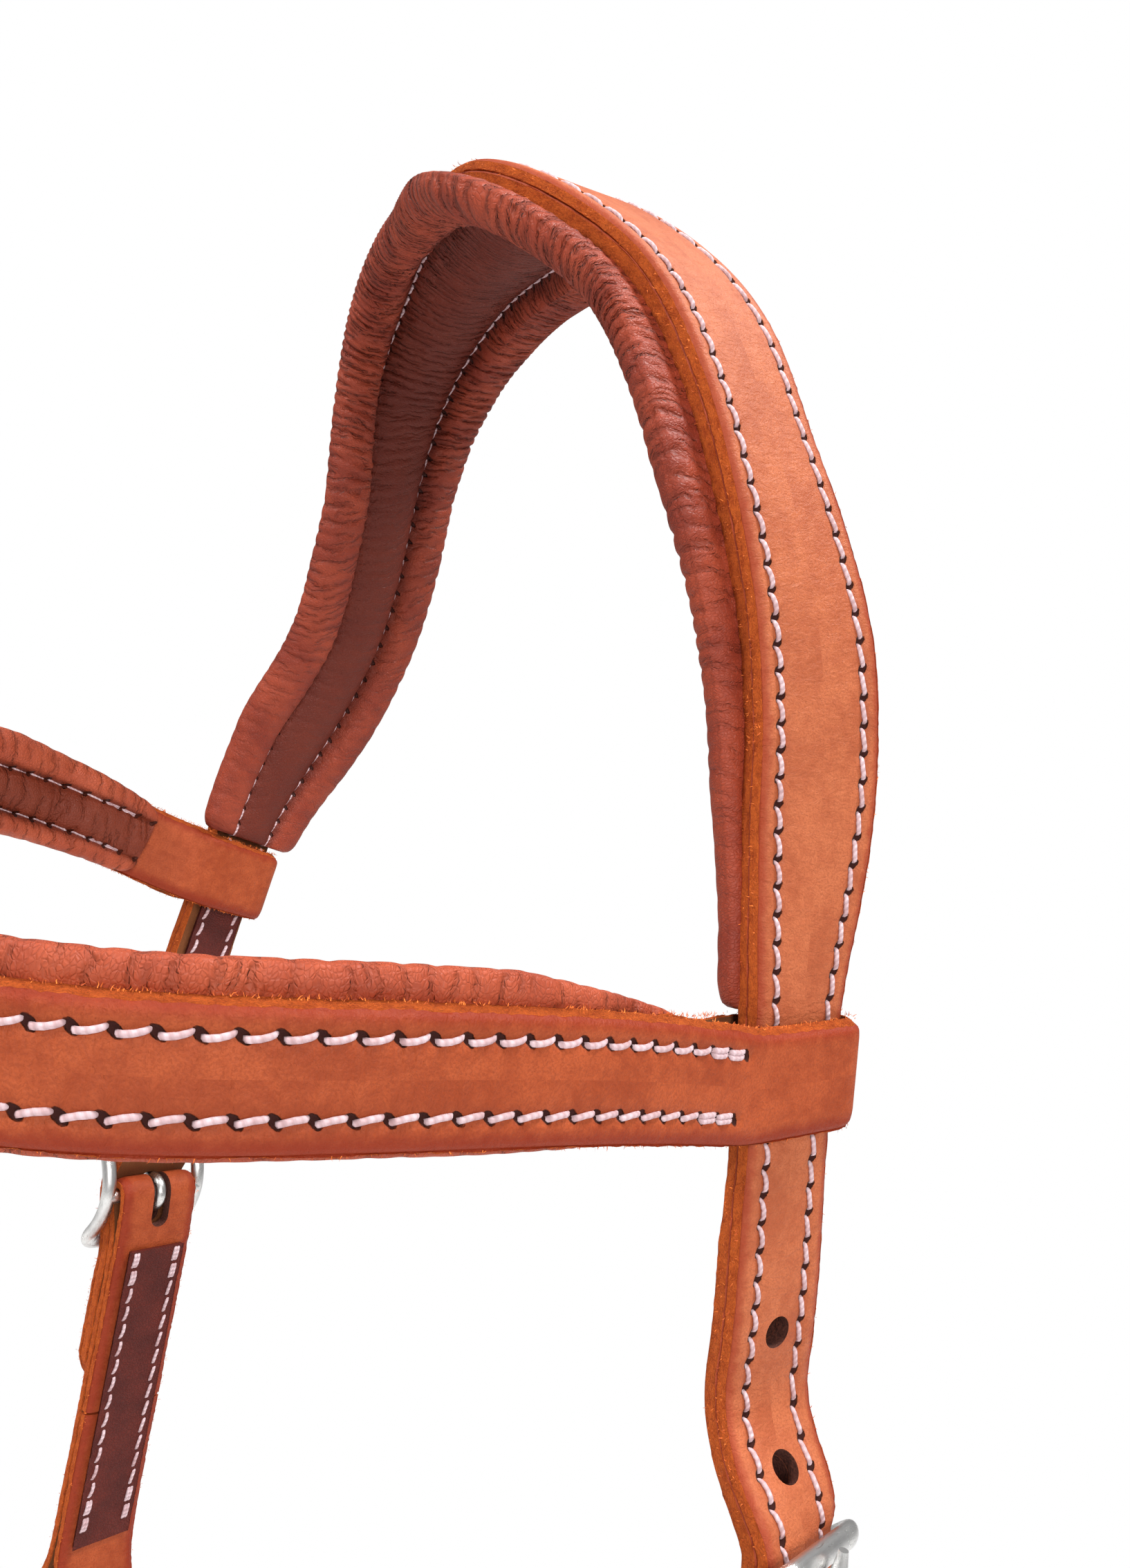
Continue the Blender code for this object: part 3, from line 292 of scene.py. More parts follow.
class Lap:
    """Where a billet is buckled over a chape: places are (down the strap, out of its face)."""

    def __init__(self, centre, down, out, width, billet, past):
        self.centre = np.array(centre)
        self.down = unit(down)
        self.out = unit(out - np.dot(out, self.down) * self.down)
        self.across = np.cross(self.out, -self.down)
        self.back = self.across * math.copysign(1, self.across[1])
        self.width = width
        self.billet = billet
        self.past = past
        self.fold = BAR_RADIUS + GAP + STRAP_THICKNESS / 2
        self.crest = self.fold + STRAP_THICKNESS / 2 + LAP_GAP + billet
        self.low = BUCKLE_BOW - BAR_RADIUS - LAP_GAP

    def at(self, down, out, across=0.0):
        return self.centre + down * self.down + out * self.out + across * self.across

    def line(self, places):
        return [self.at(*place) for place in places]

    def billet_line(self):
        """The billet's outer face from the top bar, over the centre bar, to its tip."""
        high = BUCKLE_HALF_HEIGHT
        rest = self.low - LAP_GAP
        shares = np.linspace(-1, 1, 9)
        rises = [(1 + math.cos(math.pi * share)) / 2 for share in shares]
        wave = [
            (share * high, rest + (self.crest - rest) * rise) for share, rise in zip(shares, rises)
        ]
        tail = [(high + share * self.past, rest) for share in TAIL_SHARES]
        return self.line([*wave, *tail])

    def chape_offset(self):
        """How far out the middle of the chape's outer leg lies below the buckle."""
        return self.low - LAP_GAP - self.billet - LAP_GAP - STRAP_THICKNESS / 2

    def inner_offset(self):
        return self.chape_offset() - STRAP_THICKNESS - GAP

    def middle_offset(self):
        return (self.chape_offset() + self.inner_offset()) / 2

    def chape_line(self):
        """The chape from its inner leg, up and round the centre bar, down to below the buckle."""
        high = BUCKLE_HALF_HEIGHT
        inner, outer = self.inner_offset(), self.chape_offset()
        inside = [(high * share, inner) for share in CHAPE_SHARES[:2]]
        for share in CHAPE_SHARES[2:]:
            out = inner + (-self.fold - inner) * (1 - share) ** 2
            inside.append((high * share, min(out, -self.fold * CHAPE_LIMIT_SHARE)))
        turn = arc((0, 0), (0, -1), (-1, 0), self.fold, 0, 180, 9)
        falls = [(1 + math.cos(math.pi * share**CHAPE_FALL)) / 2 for share in TAIL_SHARES]
        outside = [
            (high * share, outer + (self.fold - outer) * fall)
            for share, fall in zip(TAIL_SHARES, falls)
        ]
        return self.line([*inside, *turn.tolist(), *outside])


def tongue_line():
    """The eye's open turn round the centre bar, then the shank that leans out over the top bar."""
    eye = BAR_RADIUS + GAP + TONGUE_RADIUS
    high = BUCKLE_HALF_HEIGHT
    leave = math.degrees(math.atan2(BUCKLE_BOW, high))
    turn = arc((0, 0), (0, 1), (1, 0), eye, leave + EYE_TURN, leave, 15)
    over = arc((-high, BUCKLE_BOW), (0, 1), (1, 0), eye, leave, 0, 3)
    tip = (-high - TONGUE_OVERHANG, BUCKLE_BOW + eye)
    return turn.tolist(), [*over.tolist(), tip]


def side_guides(shares):
    """The way across the strap at each knot of one side, turned to the front."""
    turns = [math.copysign(math.radians(share[3]), share[0] * share[3]) for share in shares]
    return [np.array([math.sin(turn), math.cos(turn), 0]) for turn in turns]


def headpiece_half(shares, bend, lap):
    """One side's knots and guides, from beside the poll down to the billet's tip."""
    wave = lap.billet_line()
    last = place(shares[LOOP_KNOT])
    straight = [last + share * (place(bend) - last) for share in STRAIGHT_SHARES]
    straight.append((straight[-1] + wave[0]) / 2)
    knots = [place(share) for share in shares] + straight + wave
    guides = side_guides(shares)
    guides += [guides[-1]] * len(straight) + [lap.back] * len(wave)
    return knots, guides, len(wave)


def headpiece_line(laps):
    """The outer face's line from the near billet's tip, over the poll, to the far billet's tip."""
    near = headpiece_half(NEAR_SHARES, NEAR_BEND_SHARES, laps["near"])
    far = headpiece_half(FAR_SHARES, FAR_BEND_SHARES, laps["far"])
    near_knots, near_guides, near_tail = near
    far_knots, far_guides, far_tail = far
    knots = np.array([*near_knots[::-1], np.array([0, 0, CROWN_TOP]), *far_knots])
    guides = np.array([*near_guides[::-1], BACK, *far_guides])
    at = lengths(knots)
    first, last = at[near_tail - 1], at[-far_tail]
    parts = [steps_between(0, first, LAP_STATION)[:-1]]
    parts += [steps_between(first, last, UPPER_STATION)[:-1], steps_between(last, at[-1], LAP_STATION)]
    places = np.concatenate(parts)
    points = spline(knots, places)[0]
    guide = np.stack([np.interp(places, at, guides[:, k]) for k in range(3)], axis=1)
    return Ribbon(points, guide)


class Headpiece:
    """The headpiece's line with the places along it that other pieces share."""

    def __init__(self, laps):
        self.line = headpiece_line(laps)
        line = self.line
        self.end = line.at[-1]
        self.poll = self.nearest(np.array([0, 0, CROWN_TOP]))
        self.loop = {
            "near": self.nearest(place(NEAR_SHARES[LOOP_KNOT])) - BAND_LOOP_DEPTH,
            "far": self.nearest(place(FAR_SHARES[LOOP_KNOT])) + BAND_LOOP_DEPTH,
        }
        self.bar = {
            "near": self.nearest(laps["near"].at(-BUCKLE_HALF_HEIGHT, laps["near"].low)),
            "far": self.nearest(laps["far"].at(-BUCKLE_HALF_HEIGHT, laps["far"].low)),
        }

    def nearest(self, point):
        fine = np.linspace(0, self.line.at[-1], 2000)
        line = self.line
        places = np.stack([np.interp(fine, line.at, line.points[:, k]) for k in range(3)], axis=1)
        return fine[np.argmin(np.linalg.norm(places - point, axis=1))]

    def share_to_loop(self, at):
        """0 at the poll, 1 at the browband loops, more below them."""
        near = (self.poll - at) / (self.poll - self.loop["near"])
        far = (at - self.poll) / (self.loop["far"] - self.poll)
        return np.where(at < self.poll, near, far)

    def widths(self, at):
        share = self.share_to_loop(at)
        values = [POLL_WIDTH, CROWN_WIDTH, CROWN_WIDTH, BILLET_WIDTH]
        wide = np.interp(share, WIDTH_SHARES, values)
        from_tip = np.minimum(at, self.end - at)
        return wide * np.interp(from_tip, np.linspace(0, TIP_LENGTH, len(TIP_SHARES)), TIP_SHARES)

    def rows(self, at):
        share = self.share_to_loop(at)
        values = [POLL_ROWS, CROWN_ROWS, CROWN_ROWS, BILLET_ROWS]
        return np.interp(share, WIDTH_SHARES, values)


def pad_sides(head, at):
    """How far the pad reaches past its stitches, which is less down the near side than down the far one."""
    share = head.share_to_loop(at)
    near = np.interp(share, NEAR_PAD_SIDE_SHARES, [PAD_SIDE, PAD_SIDE, NEAR_PAD_SIDE_AT_LOOP])
    far = np.interp(share, PAD_SIDE_SHARES, [PAD_SIDE, PAD_SIDE, PAD_SIDE_AT_LOOP])
    return np.where(at < head.poll, near, far)


class Browband:
    """The browband's middle line with its two turned loops."""

    def __init__(self, head):
        self.loops = {side: head.line.spot(head.loop[side]) for side in ("near", "far")}
        self.run = BAND_CLEARANCE + STRAP_THICKNESS / 2
        self.inside = PLY + GAP + LINING_THICKNESS + self.run
        self.edge = BILLET_WIDTH / 2 + self.run
        knots = [self.loop_place("near", -self.edge, self.run)]
        knots += [place(shares) for shares in BAND_SHARES]
        knots.append(self.loop_place("far", -self.edge, self.run))
        self.main_points, places = spline(knots, BAND_STATIONS)
        near_up, far_up = self.loops["near"][1], -self.loops["far"][1]
        share = (places / places[-1])[:, None]
        self.near_up, self.far_up = near_up, far_up
        self.guide = near_up + (far_up - near_up) * share
        self.main = Ribbon(self.main_points, self.guide)

    def loop_place(self, side, across, out):
        point, _, side_way, face = self.loops[side]
        return point + across * side_way + out * face

    def loop_points(self, side):
        """From beside the band's start, over the outside, round the back edge and back inside."""
        corner = self.run + STRAP_THICKNESS / 2
        back = self.edge - corner
        outside = [(-LOOP_START_SHARE * self.edge, self.run), (0, self.run), (back, self.run)]
        high, low = self.run - corner, -self.inside + corner
        turns = [math.radians(angle) for angle in LOOP_TURN_ANGLES]
        unders = [math.radians(angle) for angle in LOOP_UNDER_ANGLES]
        turn = [(back + corner * math.sin(a), high + corner * math.cos(a)) for a in turns]
        under = [(back + corner * math.cos(a), low - corner * math.sin(a)) for a in unders]
        inside = [(0, -self.inside), (-self.edge, -self.inside)]
        return [self.loop_place(side, *spot) for spot in (*outside, *turn, *under, *inside)]

    def tuck_points(self, side):
        """The sewn-down end inside the band, from the loop's side to its end."""
        main = self.main
        places = np.linspace(BAND_TUCK, BAND_TUCK + BAND_TUCK, 4)
        places = places if side == "near" else main.at[-1] - places
        depths = [STRAP_THICKNESS + GAP + TUCK_ENTRY] + [STRAP_THICKNESS + GAP] * 3
        return [main.spot(at, out=-depth)[0] for at, depth in zip(places, depths)]

    def line(self):
        near_loop, far_loop = self.loop_points("near"), self.loop_points("far")
        near_tuck, far_tuck = self.tuck_points("near"), self.tuck_points("far")
        before = [*near_tuck[::-1], *near_loop[::-1]]
        after = [*far_loop, *far_tuck]
        points = [*before, *self.main_points, *after]
        guides = [self.near_up] * len(before) + list(self.guide) + [self.far_up] * len(after)
        return Ribbon(points, np.array(guides))


def folded_line(lap, length, fold):
    """A strap's middle line, folded round the buckle's centre bar and round the ring's wire."""
    inner, outer, middle = lap.inner_offset(), lap.chape_offset(), lap.middle_offset()
    straight = FOLD_RUN * fold
    end = length - straight
    before = [
        (length - run * straight, outer + (middle + fold - outer) * opened)
        for run, opened in OPENING_SHARES
    ]
    after = [
        (length - run * straight, inner + (middle - fold - inner) * opened)
        for run, opened in OPENING_SHARES
    ]
    turn = arc((length, middle), (0, 1), (1, 0), fold, 0, 180, 9).tolist()
    high = BUCKLE_HALF_HEIGHT
    first = CHAPE_SHARES[0] * high
    butt = first + BUTT_SHARE * (end - first)
    run = [(high + share * (end - high), outer) for share in RUN_SHARES]
    places = [*run, *before, *turn, *after[::-1], (end, inner), (butt + GAP, inner)]
    return Ribbon([*lap.line([(butt - GAP, inner)]), *lap.chape_line(), *lap.line(places)], lap.across)


class Sling:
    """A strap slung between the two rings in a plane that turns about their shared axis."""

    def __init__(self, rings, away, reach):
        self.near, self.far = rings["near"], rings["far"]
        self.side = unit(self.near - self.far)
        self.middle = (self.near + self.far) / 2
        self.half = np.linalg.norm(self.near - self.far) / 2
        self.away = unit(away - np.dot(away, self.side) * self.side)
        self.reach = reach
        self.up = np.cross(self.side, self.away)
        self.fold = RING_FOLD

    def at(self, side, away):
        return self.middle + side * self.side + away * self.away

    def shares(self, side, away):
        start = RING_RADIUS
        return self.at(side * self.half, start + away * self.reach)

    def fold_points(self, sign, leg, lift=0.0):
        """The inner leg, then half a turn round the ring's wire, ending on the outside."""
        side, away = sign * self.half, RING_RADIUS
        fold = self.fold + lift
        rest = sign * (self.fold - STRAP_THICKNESS - GAP - lift)
        turn = arc((side, away), (-sign, 0), (0, -1), fold, 0, 180, 9).tolist()
        legs = [away + share * leg for share in FOLD_LEG_SHARES]
        inside = [(side + rest, legs[0]), (side + rest, legs[1])]
        inside.append((side - sign * FOLD_REST_SHARE * self.fold, legs[2]))
        return [self.at(*spot) for spot in (*inside, *turn)]


def hang_jaw(rings, down):
    """The jaw strap's plane, and where its billet is buckled below the near ring."""
    droop = math.radians(JAW_DROOP)
    away = BACK * math.cos(droop) + down * math.sin(droop)
    sling = Sling(rings, away, JAW_REACH)
    tilt = math.radians(JAW_TILT)
    toward_ring = sling.side * math.sin(tilt) - sling.away * math.cos(tilt)
    out = np.cross(sling.up, toward_ring)
    lap = Lap([0, 0, 0], toward_ring, out, JAW_WIDTH, STRAP_THICKNESS, JAW_PAST_BUCKLE)
    wire_middle = rings["near"] + RING_RADIUS * sling.away
    lap.centre = wire_middle - JAW_CHAPE_LENGTH * lap.down - lap.middle_offset() * lap.out
    return sling, lap


def hang_cheeks():
    """Where the two billets are buckled, the way from far to near, and the way down."""
    near, far = place(NEAR_BUCKLE_SHARES), place(FAR_BUCKLE_SHARES)
    side = unit(near - far)
    lean = -UP - CHEEK_FORWARD_SHARE * BACK
    down = unit(lean - np.dot(lean, side) * side)
    laps = {
        "near": Lap(near, down, side, BILLET_WIDTH, PLY, BILLET_PAST_BUCKLE),
        "far": Lap(far, down, -side, BILLET_WIDTH, PLY, BILLET_PAST_BUCKLE),
    }
    rings = {
        name: lap.at(CHEEK_LENGTH + RING_RADIUS, lap.middle_offset()) for name, lap in laps.items()
    }
    return laps, rings, side, down


# Stitching and fine shape
MM = 0.001
PITCH = 0.00423
THREAD = 0.00043
THREAD_SIDES = 7
ROW_END = 0.0056
EDGE_SWELL = 0.0006
PAD_LOOP_SHARE = 0.25
SWELL_BELLS, SWELL_DEPTH = ((0.013, 0.021), (0.066, 0.024)), 0.0041
ROW_STEPS = (-1.5, -1.0, -0.65, -0.35, 0.0, 0.35, 0.65, 1.0, 1.5)
CORNER = 0.0009
SHOULDER = 0.0005
SHARP_FROM, SHARP_AT_HOLES = 60, 50
FACE_SHARES, SHOULDER_SHARES = (0.0, 0.35, 0.7), (0.35, 0.75)
RAW_SHARES, BACK_SHARES = (0.0, 0.3, 0.6, 0.88), (0.66, 0.33, 0.0)
CORNER_ANGLES = (0, 30, 60, 85)
ROW_CLEAR, RAW_OUT, RAW_IN = 0.0018, 0.00006, 0.00025
SLIT_LENGTH, SLIT_BREADTH, SLIT_DEPTH = 1.3, 0.7, 0.5
PULL_REACH, PULL_DEPTH = 0.95, 0.36
SHOULDER_FROM = 0.0008
GRIT_REACH, GRIT_DEPTH = 0.0008, 0.30
WAVE_REACH, WAVE_DEPTH = 0.007, 0.3
SWAY_REACH, SWAY_DEPTH = 0.009, 0.10
FAR_FROM_ROWS = 60.0
DOUBLED = 1e-6
ROLL = (
    (0, 0), (0.10, 0.50), (0.34, 0.98), (0.62, 1.0), (0.88, 0.66), (1.0, 0.10),
    (0.99, -0.60), (0.88, -1.30), (0.70, -1.50), (0.52, -1.20), (0.40, -1.0),
)
ROLL_COLUMNS, MIDDLE_COLUMNS = 26, 17
SEAM_REACH, SEAM_PULL = 0.0022, 0.00022
# How far past the stitch rows the painted shade on the pad's inward middle reaches
PAD_SHADE_REACH = 0.0025
STITCH_PLACES = np.array([0, 0.08, 0.22, 0.5, 0.78, 0.92, 1.0])
STITCH_LIFTS = np.array([-1.0, -0.2, 0.30, 0.46, 0.30, -0.2, -1.0]) * 0.0005
STITCH_SLANT, STITCH_BOW, PAIR_SHIFT = 0.36, 0.22, 0.36
STITCH_LEVEL = -0.00030
INSIDE_LIFT = 0.8
FIBRE_LENGTHS, FIBRE_HALF_BREADTH = (0.25, 0.80), 0.065
ODD_WAY = np.array([0.31, 0.47, 0.83])
LATTICE_SIZE = 256
LATTICE = np.random.default_rng(7).random((LATTICE_SIZE, LATTICE_SIZE))


def noise2(x, y, seed=0):
    """Smooth noise from 0 to 1 at each place."""
    x, y = np.asarray(x, float) + 17.3 * seed, np.asarray(y, float) + 9.1 * seed
    i, j = np.floor(x).astype(int), np.floor(y).astype(int)
    u, v = x - i, y - j
    u, v = u * u * (3 - 2 * u), v * v * (3 - 2 * v)
    rows, columns = (i % LATTICE_SIZE, (i + 1) % LATTICE_SIZE), (j % LATTICE_SIZE, (j + 1) % LATTICE_SIZE)
    a, b, c, d = (LATTICE[row, column] for column in columns for row in rows)
    return (a * (1 - u) + b * u) * (1 - v) + (c * (1 - u) + d * u) * v


def wobble2(x, y, seed=0):
    """The same noise, evenly round 0."""
    return noise2(x, y, seed) - 0.5


def frames(line, at):
    """Points and directions of the ribbon at many places."""
    found = []
    for values in (line.points, line.across, line.out):
        found.append(np.stack([np.interp(at, line.at, values[:, k]) for k in range(3)], axis=-1))
    return found[0], unit(found[1]), unit(found[2])


def softened(values, reach):
    """Each row averaged with its neighbours by a bell curve, with both ends held."""
    span = int(3 * reach)
    bell = np.exp(-0.5 * (np.arange(-span, span + 1) / reach) ** 2)
    bell /= bell.sum()
    first, last = 2 * values[:1] - values[span:0:-1], 2 * values[-1:] - values[-2 : -span - 2 : -1]
    long = np.concatenate([first, values, last])
    return np.stack([np.convolve(long[:, k], bell, "valid") for k in range(values.shape[1])], axis=1)


def smoothed(line, step, ease=0.0):
    """The same ribbon with its corners eased and even, fine stations."""
    both = np.concatenate([line.points, line.across], axis=1)
    for _ in range(3):
        quarter, three = 0.75 * both[:-1] + 0.25 * both[1:], 0.25 * both[:-1] + 0.75 * both[1:]
        mixed = np.stack([quarter, three], axis=1).reshape(-1, 6)
        both = np.concatenate([both[:1], mixed, both[-1:]])
        keep = np.concatenate([[True], np.linalg.norm(np.diff(both[:, :3], axis=0), axis=1) > 1e-5])
        both = both[keep]
    at = lengths(both[:, :3])
    places = np.linspace(0, at[-1], int(at[-1] / step))
    even = np.stack([np.interp(places, at, both[:, k]) for k in range(6)], axis=1)
    if ease:
        even = softened(even, ease / step)
    return Ribbon(even[:, :3], even[:, 3:])


def where(line, point):
    """How far along the ribbon its nearest station to a point is."""
    return line.at[np.argmin(np.linalg.norm(line.points - point, axis=1))]


def placed(name, mesh, finish):
    """A mesh as a piece of the scene."""
    mesh.materials.append(finish)
    made = bpy.data.objects.new(name, mesh)
    bpy.context.scene.collection.objects.link(made)
    return made


def kept(bm, name):
    """The work mesh as a lasting one."""
    mesh = bpy.data.meshes.new(name)
    bm.to_mesh(mesh)
    bm.free()
    return mesh


def face_out(mesh, merge=0.0):
    """Turns every face of a mesh outward, once its doubled points are merged."""
    bm = bmesh.new()
    bm.from_mesh(mesh)
    if merge:
        bmesh.ops.remove_doubles(bm, verts=bm.verts[:], dist=merge)
    bmesh.ops.recalc_face_normals(bm, faces=bm.faces[:])
    bm.to_mesh(mesh)
    bm.free()


def round_quads(shape):
    """Faces through a grid of points whose last side closes on itself."""
    index = np.arange(np.prod(shape)).reshape(shape)
    after = np.roll(index, -1, axis=-1)
    corners = index[..., :-1, :], after[..., :-1, :], after[..., 1:, :], index[..., 1:, :]
    return np.stack(corners, axis=-1).reshape(-1, 4).tolist()


def corner_pairs(first, last):
    """A map's pairs at the corners of those faces."""
    corners = first[..., :-1, :, :], last[..., :-1, :, :], last[..., 1:, :, :], first[..., 1:, :, :]
    return np.stack(corners, axis=-2).reshape(-1, 2)


def set_map(mesh, label, pairs):
    mesh.uv_layers.new(name=label).data.foreach_set("uv", pairs.astype(np.float32).ravel())


def grid_mesh(name, points, closed_ends, maps, finish):
    """A mesh through a grid of points that closes round its second side, with its maps of places."""
    around = points.shape[1]
    faces = round_quads(points.shape[:2])
    if closed_ends:
        total = len(points) * around
        faces += [list(range(around))[::-1], list(range(total - around, total))]
    mesh = bpy.data.meshes.new(name)
    mesh.from_pydata(points.reshape(-1, 3).tolist(), [], faces)
    for label, (first, last) in maps.items():
        pairs = corner_pairs(first, last)
        if closed_ends:
            pairs = np.concatenate([pairs, *[np.repeat(first[end, :1], around, 0) for end in (0, -1)]])
        set_map(mesh, label, pairs)
    rel = points - points.mean(axis=(0, 1))
    beside = np.roll(rel, -1, 1)
    a, b, c, d = rel[:-1], beside[:-1], rel[1:], beside[1:]
    volume = (np.cross(a, b) * d).sum() + (np.cross(a, d) * c).sum()
    if volume < 0:
        mesh.flip_normals()
    made = placed(name, mesh, finish)
    mesh.shade_smooth()
    mesh.set_sharp_from_angle(angle=math.radians(SHARP_FROM))
    return made


def skin(name, line, across, out, codes, signs, row, finish, count, sewn, edge, folds=None):
    """A closed mesh through sections of (across, out), which knows its stitches and its edges."""
    points = line.points[:, None] + across[..., None] * line.across[:, None]
    points = points + out[..., None] * line.out[:, None]
    ends = np.roll(across, -1, 1), np.roll(out, -1, 1)
    steps = np.hypot(ends[0] - across, ends[1] - out)
    last = np.cumsum(steps, axis=1) / MM
    first = last - steps / MM
    at = np.broadcast_to((line.at / MM)[:, None], across.shape)
    stitch = np.broadcast_to(count[:, None], across.shape)
    off = np.where(sewn[:, None], 0.0, FAR_FROM_ROWS)
    codes = np.broadcast_to(codes, across.shape)
    after = np.roll(codes, -1, 1) if codes.strides[0] else codes
    row = row[:, None] * signs[None]
    deep = [(edge[:, None] - np.abs(spot)) / MM for spot in (across, ends[0])]
    rows = [(spot - row) / MM + off for spot in (across, ends[0])]
    pairs = {
        "place": ((at, first), (at, last)),
        "row": ((stitch, rows[0]), (stitch, rows[1])),
        "edge": ((deep[0], codes), (deep[1], after)),
    }
    if folds is not None:
        pairs["fold"] = folds, [np.roll(values, -1, 1) for values in folds]
    maps = {label: [np.stack(pair, -1) for pair in both] for label, both in pairs.items()}
    return grid_mesh(name, points, True, maps, finish)


def sewing(start, end):
    """The first hole's place and the number of stitches between two places."""
    return start, int((end - start) / PITCH)


def next_hole(start, place):
    """The first hole at or past a place, in a row that begins at start."""
    return start + PITCH * math.ceil((place - start) / PITCH)


def counts(line, sewn):
    """The stitch count at each station, and whether it is sewn there."""
    if sewn is None:
        return np.zeros(len(line.at)), np.zeros(len(line.at), bool)
    count = (line.at - sewn[0]) / PITCH
    return count, (count > -0.4) & (count < sewn[1] + 0.4)


def strap_side(half, row, inner, outer, corner, lean):
    """Columns from the middle of the outer face, over one edge, to the middle of the inner face."""
    past = row + ROW_STEPS[-1] * MM
    height = outer - corner - inner
    turns = [math.radians(angle) for angle in CORNER_ANGLES]
    places = [(share * (row - ROW_CLEAR), outer) for share in FACE_SHARES]
    places += [(row + step * MM, outer) for step in ROW_STEPS]
    places += [(past + share * (half - corner - lean - past), outer) for share in SHOULDER_SHARES]
    side = half - lean - corner
    places += [(side + corner * math.sin(turn), outer - corner + corner * math.cos(turn)) for turn in turns]
    codes = [1] * (len(places) - 1) + [0] * (len(RAW_SHARES) + 1) + [-1] * (len(BACK_SHARES) + 1)
    places += [(half + RAW_OUT - (1 - share) * lean, outer - corner - share * height) for share in RAW_SHARES]
    places += [(half - RAW_IN, inner), *[(share * half, inner) for share in BACK_SHARES]]
    across, out = (np.stack([place[k] + 0 * half for place in places], axis=1) for k in (0, 1))
    return across, out, codes


def strap_skin(
    name, line, full, rows, inner, outer, finish,
    taper=1.0, sewn=None, shoulder=SHOULDER, corner=CORNER, leans=(0.0, 0.0),
):
    """A strap with a grooved, stitched outer face, eased shoulders and ragged raw edges."""
    size = len(line.points)
    full, rows, taper = (np.broadcast_to(np.asarray(v, float), (size,)) for v in (full, rows, taper))
    half, row = full / 2, rows / 2
    side, height, codes = strap_side(half, row, inner, outer, corner, leans[1])
    other = strap_side(half, row, inner, outer, corner, leans[0])[0]
    k = side.shape[1]
    across = np.concatenate([side, -other[:, -2:0:-1]], axis=1)
    out = np.concatenate([height, height[:, -2:0:-1]], axis=1)
    signs = np.array([1.0] * (k - 1) + [-1.0] * (k - 1))
    columns = np.array(codes[:-1] + codes[:-1][::-1], float)
    mirrored = np.array(codes + codes[-2:0:-1])[None]
    face, raw = (mirrored == 1).astype(float), (mirrored == 0).astype(float)
    count, inside = counts(line, sewn)
    x = (count - np.round(count))[:, None] * PITCH / MM
    y = (across - np.where(across < 0, -1.0, 1.0) * row[:, None]) / MM
    slit = ((x + y) / SLIT_LENGTH) ** 2 + ((x - y) / SLIT_BREADTH) ** 2
    pull = PULL_DEPTH * np.exp(-((y / PULL_REACH) ** 2)) + SLIT_DEPTH * np.exp(-slit)
    out = out - face * inside[:, None] * pull * MM
    from_row = np.abs(across) - row[:, None] - SHOULDER_FROM
    out = out - face * shoulder * np.clip(from_row / (half - row - SHOULDER_FROM)[:, None], 0, 1) ** 2
    place = line.at[:, None]
    grit = wobble2(place / GRIT_REACH, np.arange(across.shape[1])[None] * 1.1, 3)
    wave = wobble2(place / WAVE_REACH, np.sign(across) * 3 + 5, 5)
    across = across + np.sign(across) * raw * (GRIT_DEPTH * grit + WAVE_DEPTH * wave) * MM
    out = out + face * SWAY_DEPTH * MM * wobble2(place / SWAY_REACH, across / WAVE_REACH + 40, 8)
    across = across * taper[:, None]
    return skin(name, line, across, out, columns, signs, row * taper, finish, count, inside, half * taper)


def pulls(across, count, seed):
    """Thin, even creases across a pad, one where each stitch pulls: their count and depth at each place."""
    bent = count[:, None] + 0.2 * across / (9 * MM)
    bent = bent + 0.35 * wobble2(count[:, None] * 0.3, across / (8 * MM), seed)
    return bent, np.full(across.shape, 0.55)


def creases(line, across, poll, reach, seed):
    """Folds across the pad, tightest and deepest at the poll: their count and depth at each place."""
    share = np.abs(line.at - poll) / reach
    wave = np.interp(share, [0, 0.5, 1.0, 2.0], [1.8, 2.6, 3.6, 5.0]) * MM
    phase = np.concatenate([[0], np.cumsum(np.diff(line.at) / wave[1:])])[:, None]
    bent = phase + 0.5 * across / (9 * MM) + 0.9 * wobble2(phase * 0.15, across / (9 * MM) + 9, seed)
    fade = np.interp(share, [0, 0.45, 0.8, 1.1, 1.5, 3.0], [1.0, 0.85, 0.6, 0.3, 0.12, 0.10])[:, None]
    return bent, fade * np.interp(np.abs(across), [5.5 * MM, 9 * MM], [0.42, 0.95])


